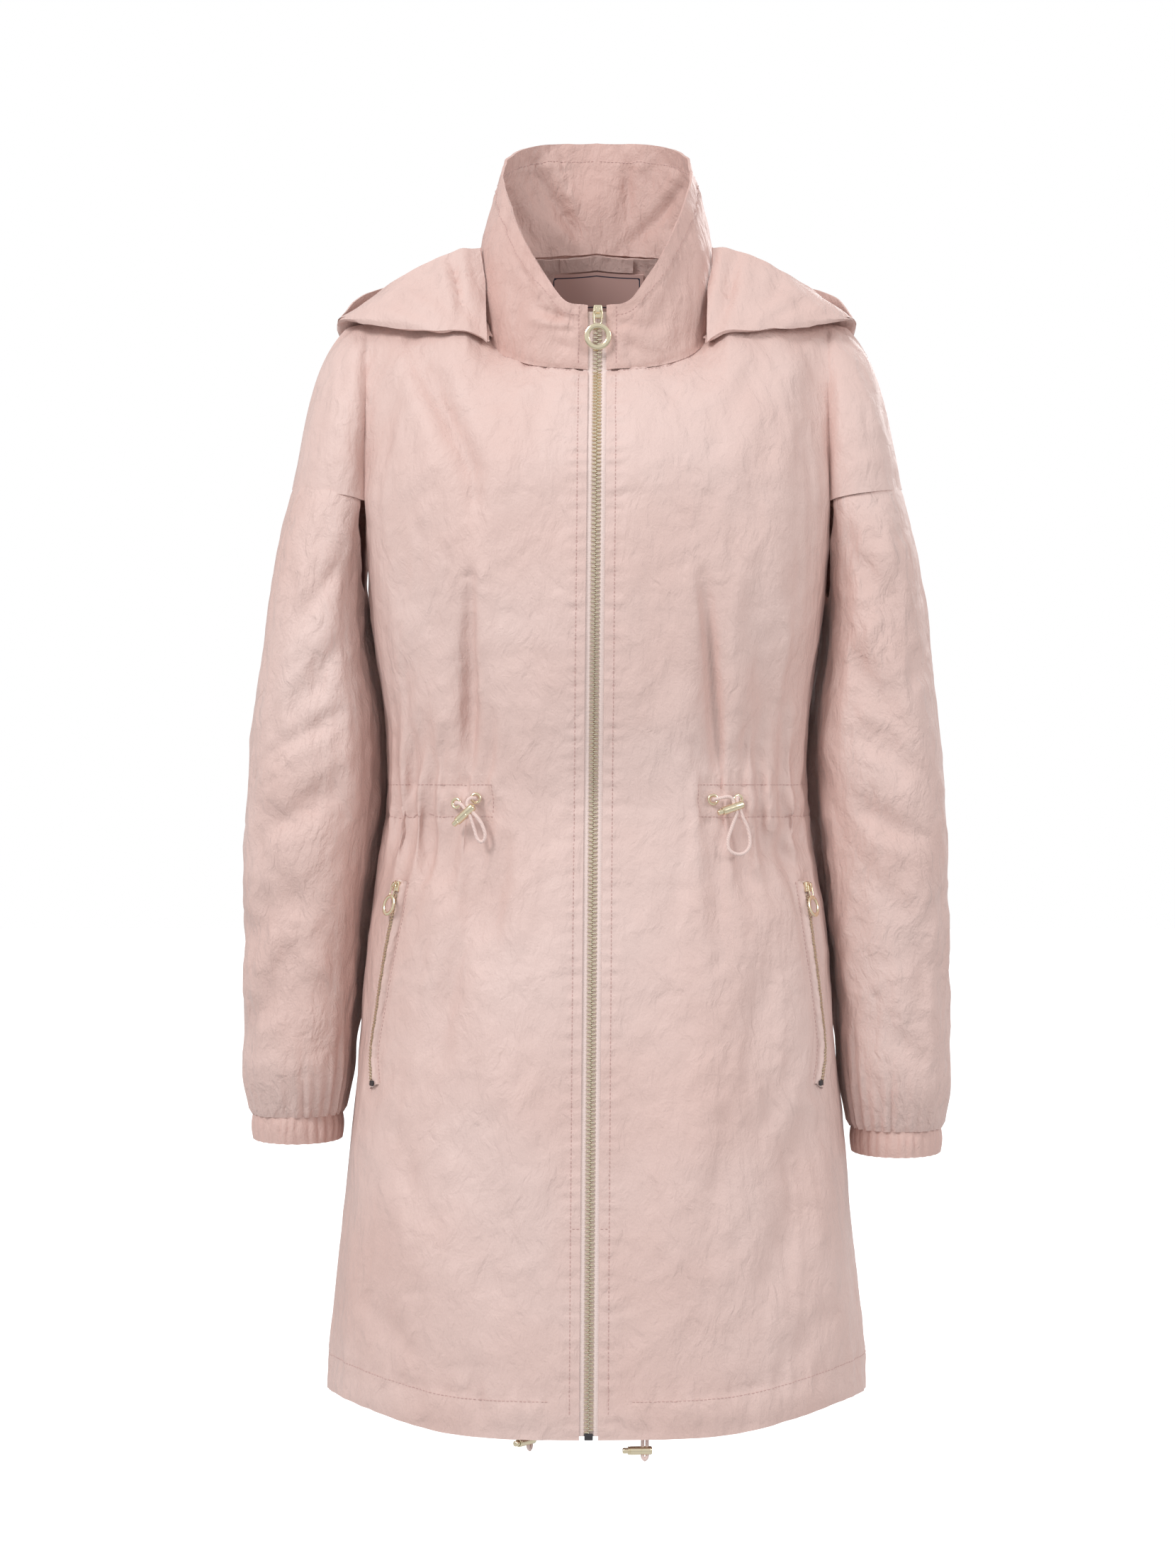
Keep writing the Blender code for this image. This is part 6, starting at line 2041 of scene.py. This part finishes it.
class NeckPieces:
    """The hanger loop and the bare label, inside the back neck."""

    body_cloth = 1.3 * MM
    loop_half = 28 * MM
    label_half = 36 * MM

    def inside(self, x: float, rise: float, gap: float) -> np.ndarray:
        """A point inside the back's upper part, a gap off its inner side."""
        side = 1 if x >= 0 else -1
        turn = math.degrees(math.asin(min(abs(x) / NECK_HALF, 1)))
        across = np.array([turn / 90 * FORM.neck_back_share])
        place, beside = FORM.high(side, False, across, np.array([rise, rise - 0.02]))[:, 0]
        run = unit(place - beside)
        out = unit(np.array((0, run[2], -run[1])))
        return np.array((x, place[1], place[2])) - out * (self.body_cloth + gap)

    def patch(self, node: str, half: float, rises: np.ndarray, gap: float, finish: str) -> bpy.types.Object:
        """Makes one flat piece as a thin closed cloth.

        Args:
            node: The solid that it stands for.
            half: Half its width.
            rises: Where it lies between the arm level and the seam.
            gap: Its distance from the back's inner side.
            finish: The name of its finish.

        Returns:
            The piece.
        """
        xs = np.linspace(-half, half, 41)
        grid = np.array([[self.inside(x, rise, gap) for x in xs] for rise in rises])
        u, v = flat_sizes(grid)
        edge = np.minimum(np.minimum(u, u[-1] - u)[None, :], np.minimum(v, v[-1] - v)[:, None])
        cloth = stacked(u[None, :], v[:, None], edge)
        sheet = ClothSheet()
        sheet.grid(grid, flip=True, cloth=cloth)
        item = sheet.solid(f"{node}_cloth", 1.0 * MM, finish)
        declare(item, node)
        return item

    def build(self) -> None:
        """Makes both pieces."""
        self.patch("hanger_loop", self.loop_half, np.linspace(0.999, 0.945, 7), 2.2 * MM, "shell_nylon")
        self.patch("neck_label", self.label_half, np.linspace(0.938, 0.79, 13), 1.8 * MM, "label_weave")


class Fittings:
    """The cast and pressed pieces that keep their own solids, with their edges softened."""

    bevel = 0.35 * MM
    golden = ("zip_slider", "pocket_slider_left", "pocket_slider_right")
    dark = ("zip_box", "pocket_stop_left", "pocket_stop_right")
    eyelets = ("eyelet_left_1", "eyelet_left_2", "eyelet_right_1", "eyelet_right_2")

    def dress(self, node: str, finish: str, slot: str) -> None:
        """Gives one solid its finish and round edges."""
        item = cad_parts[node]
        item.data.materials.clear()
        item.data.materials.append(finish_material(finish))
        weld = item.modifiers.new("weld", "WELD")
        weld.merge_threshold = 0.01 * MM
        bevel = item.modifiers.new("bevel", "BEVEL")
        bevel.width = self.bevel
        bevel.segments = 3
        bevel.limit_method = "ANGLE"
        bevel.angle_limit = math.radians(28)
        item.data.shade_smooth()

    def eyelet(self, node: str) -> None:
        """Makes a rolled metal ring in place of an eyelet's solid."""
        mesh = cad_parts[node].data
        centre = sum((vertex.co for vertex in mesh.vertices), Vector()) / len(mesh.vertices)
        places = np.array([vertex.co - centre for vertex in mesh.vertices])
        _, _, axes = np.linalg.svd(places, full_matrices=False)
        axis = Vector(axes[2])
        axis = -axis if axis.y > 0 else axis
        matrix = axis.to_track_quat("Z", "Y").to_matrix().to_4x4()
        matrix.col[3][:3] = centre + axis * float((places @ np.array(axis)).min())
        profile = [
            (2.0, 0.05), (4.05, 0.05), (4.2, 0.25), (4.1, 0.6), (3.7, 0.9), (3.2, 1.02), (2.75, 0.95), (2.35, 0.65),
            (2.2, 0.3),
        ]  # fmt: skip
        solid = Solid(f"{node}_metal", "pale_gold")
        solid.turned(matrix, [(radius * MM, height * MM) for radius, height in profile], 36, closed=True)
        declare(solid.build(), node)

    def build(self) -> None:
        """Dresses the fittings."""
        for node in self.golden:
            self.dress(node, "pale_gold", "gold")
        for node in self.dark:
            self.dress(node, "dark_enamel", "dark")
        for node in self.eyelets:
            self.eyelet(node)


class Cords:
    """The waist's and the hem's elastic cords with their locks."""

    def waist(self, side: Side, face: SolidFace) -> Seat:
        """Makes one waist cord and its lock.

        Args:
            side: The wearer's side.
            face: The front that it hangs on.

        Returns:
            The seat of the lock.
        """
        seat = face.seat(*WAIST_PLACE[side], 9 * MM, 16 * MM)
        pieces = list(CordLock("waist", side).build())
        route = [seat.at(*point) for point in WAIST_ROUTES[side]]
        ElasticCord(f"waist_cord_{side.word}", route).build(pieces)
        return seat

    def hem(self, side: Side) -> None:
        """Makes one hem cord and its lock."""
        pieces = list(CordLock("hem", side).build())
        turn = math.radians(HEM_TURN[side])
        axis = Vector((-math.cos(turn), -math.sin(turn), 0))
        run = HEM_RUN[side]
        ends = ((-1, run), (-1, run * 0.6), (-1, 0.0), (-1, -4.4 * MM), (0, -6.6 * MM))
        ends += ((1, -4.4 * MM), (1, 0.0), (1, run * 0.6), (1, run))
        route = [HEM_PLACE[side] + axis * STRAND_APART * way + Vector((0, 0, height)) for way, height in ends]
        ElasticCord(f"hem_cord_{side.word}", route).build(pieces)


class Parka:
    """The whole garment."""

    def __init__(self) -> None:
        """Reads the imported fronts."""
        self.faces = {side: SolidFace(f"front_{side.word}") for side in Side}
        self.line = CentreFront()
        self.pockets = {side: PocketZip(side, self.faces[side]) for side in Side}

    def seats(self, side: Side) -> list:
        """Places where the front's cloth lies under fittings, each with its reach."""
        found = [(seat.place, 9 * MM) for seat in self.pockets[side].seats[::4]]
        waist = self.faces[side].seat(*WAIST_PLACE[side], 9 * MM, 16 * MM)
        found.append((waist.place, 12 * MM))
        found += [(waist.at(u, v, 0.0), 7 * MM) for u, v in WAIST_EYELETS[side]]
        return found

    def build(self) -> None:
        """Makes every piece, from the cloth to the stitches."""
        panels = [
            Panel("front_left", (1,), True, 3 * MM),
            Panel("front_right", (-1,), True, 3 * MM),
            Panel("back", (1, -1), False, 4 * MM),
        ]
        for panel in panels:
            panel.build()
            panel.wrinkle()
            if panel.is_front:
                side = Side(panel.sides[0])
                panel.calm(self.seats(side), self.faces[side].tree)
            panel.dress()
            LOG.info("%s with %d faces", panel.name, len(panel.sheet.faces))
        for side, top in ((Side.LEFT, 0.6524), (Side.RIGHT, 0.6424)):
            sleeve = Sleeve(side, top)
            sleeve.build(3 * MM)
            sleeve.dress()
            cuff = Cuff(side, top)
            cuff.build()
            cuff.dress()
            LOG.info("sleeve and cuff %s", side.word)
        collar = Collar()
        collar.build()
        collar.dress()
        hood = Hood()
        hood.build([panel.sheet.tree() for panel in panels] + [collar.sheet.tree()])
        hood.dress()
        LOG.info("collar and hood")
        NeckPieces().build()
        MainZip(self.line).build()
        for pocket in self.pockets.values():
            pocket.build()
        Fittings().build()
        cords = Cords()
        for side in Side:
            cords.waist(side, self.faces[side])
            cords.hem(side)
        LOG.info("fittings and cords")
        Seams(self, panels, collar).build()


class Seams:
    """All rows of stitches on the garment."""

    def __init__(self, parka: Parka, panels: list[Panel], collar: Collar) -> None:
        """Keeps the finished cloth that the stitches lie on."""
        self.parka = parka
        self.trees = {panel.name: panel.sheet.tree() for panel in panels}
        self.collar = collar.sheet.tree()
        self.stitching = Stitching()
        self.solid = Solid("stitches", "thread", 60.0)

    def sew(self, line: np.ndarray, tree: BVHTree, behind: float = 0.0) -> None:
        """Adds one row, on the inner side where the cloth's thickness is given."""
        self.stitching.row(self.solid, line, tree, behind)

    def placket(self, side: Side) -> None:
        """The long row beside the zip, and the short one across to the zip near the hem."""
        tree = self.trees[f"front_{side.word}"]
        points = self.parka.line.points
        low = points[points[:, 2] < FORM.neck(1, 0.0)[2] - 2 * MM].copy()
        low[:, 0] += side.value * Stitching.placket
        self.sew(low[8:], tree)
        high = points[points[:, 2] > FORM.neck(1, 0.0)[2] + 2 * MM].copy()
        high[:, 0] += side.value * Stitching.placket
        self.sew(high, self.collar)
        z = -0.710
        centre = self.parka.line.point(self.parka.line.at_height(z))
        inner = centre + Vector((side.value * 7.5 * MM, 0, 0))
        outer = centre + Vector((side.value * 13.2 * MM, 0, 0))
        self.sew(np.array([inner, outer]), tree)

    def around(self, side: int, angles: np.ndarray, drop, tree: BVHTree) -> None:
        """A row round half of the body."""
        self.sew(FORM.low(side, angles, drop, gathered=True), tree)

    def build(self) -> None:
        """Sews every row and makes the stitches."""
        for side in Side:
            tree = self.trees[f"front_{side.word}"]
            self.placket(side)
            front = np.linspace(4.6, 88, 160)
            rear = np.linspace(180, 92, 160)
            self.around(side.value, front, FORM.row_drop(front, STITCH_DROP), tree)
            self.around(side.value, rear, FORM.row_drop(rear, STITCH_DROP), self.trees["back"])
            start = 22.5
            for drop in Stitching.channel:
                self.around(side.value, np.linspace(start, 88, 160), drop, tree)
                self.around(side.value, rear, drop, self.trees["back"])
            self.around(side.value, np.full(12, start), np.linspace(*Stitching.channel, 12), tree)
            for away in (7.6, -7.6):
                self.sew(self.parka.pockets[side].line(away * MM), tree)
            neck = np.linspace(8, 86, 80)
            seam = FORM.neck(side.value, neck)
            seam[:, 2] -= 2.2 * MM
            self.sew(seam, tree)
            angles = np.linspace(6, 180, 200)
            rise = 1 - Stitching.casing / 0.105
            self.sew(FORM.collar(side.value, angles, rise), self.collar)
            self.sew(FORM.collar(side.value, angles[60:], rise), self.collar, Collar.thickness)
        declare(self.solid.build())
        LOG.info("stitches with %d faces", len(self.solid.faces))


class Studio:
    """A plain pale room with soft light, and the camera at the photograph's angle."""

    floor_z = -1.45
    floor_size = 40
    middle = Vector((0, 0, -0.40))
    eye = Vector((-0.007, -2.3, -0.398))
    lens = 94.2
    fill = 0.74
    backdrop = 1.0

    def floor(self) -> None:
        """Makes the floor."""
        bpy.ops.mesh.primitive_plane_add(size=self.floor_size, location=(0, 0, self.floor_z))
        item = bpy.context.object
        item.name = "floor"
        item.data.materials.append(finish_material("pale_floor"))

    def lamp(self, name: str, place: Vector, size: float, power: float) -> None:
        """Adds a large soft light aimed at the garment's middle."""
        light = bpy.data.lights.new(name, "AREA")
        light.shape = "DISK"
        light.size = size
        light.energy = power
        item = bpy.data.objects.new(name, light)
        item.location = place
        item.rotation_euler = (self.middle - place).to_track_quat("-Z", "Y").to_euler()
        bpy.context.scene.collection.objects.link(item)

    def world(self) -> None:
        """Makes the pale surround."""
        world = bpy.data.worlds.new("pale_room")
        world.use_nodes = True
        graph = Graph(world.node_tree)
        background = world.node_tree.nodes["Background"].inputs
        graph.feed(background[0], (1, 1, 1, 1))
        seen = graph.node("LightPath").outputs["Is Camera Ray"]
        graph.feed(background[1], graph.node("MapRange", {0: seen, 3: self.fill, 4: self.backdrop}).outputs[0])
        bpy.context.scene.world = world
        bpy.context.scene.view_settings.view_transform = "Standard"

    def camera(self) -> None:
        """Sets the camera."""
        camera = bpy.data.cameras.new("camera")
        camera.sensor_fit = "HORIZONTAL"
        camera.sensor_width = 36
        camera.lens = self.lens
        item = bpy.data.objects.new("camera", camera)
        item.location = self.eye
        item.rotation_euler = (math.radians(90), 0, 0)
        bpy.context.scene.collection.objects.link(item)
        bpy.context.scene.camera = item

    def build(self) -> None:
        """Sets up the room."""
        self.floor()
        self.lamp("key", Vector((-1.7, -1.9, 1.5)), 1.0, 44)
        self.lamp("side", Vector((2.3, -1.7, 0.8)), 1.0, 18)
        self.lamp("rear", Vector((1.4, 2.6, 1.0)), 1.4, 34)
        self.world()
        self.camera()


def main() -> None:
    """Builds the garment and its room, and reports each piece."""
    logging.basicConfig(level=logging.INFO, format="%(name)s: %(message)s")
    Parka().build()
    Studio().build()


if __name__ == "__main__":
    main()
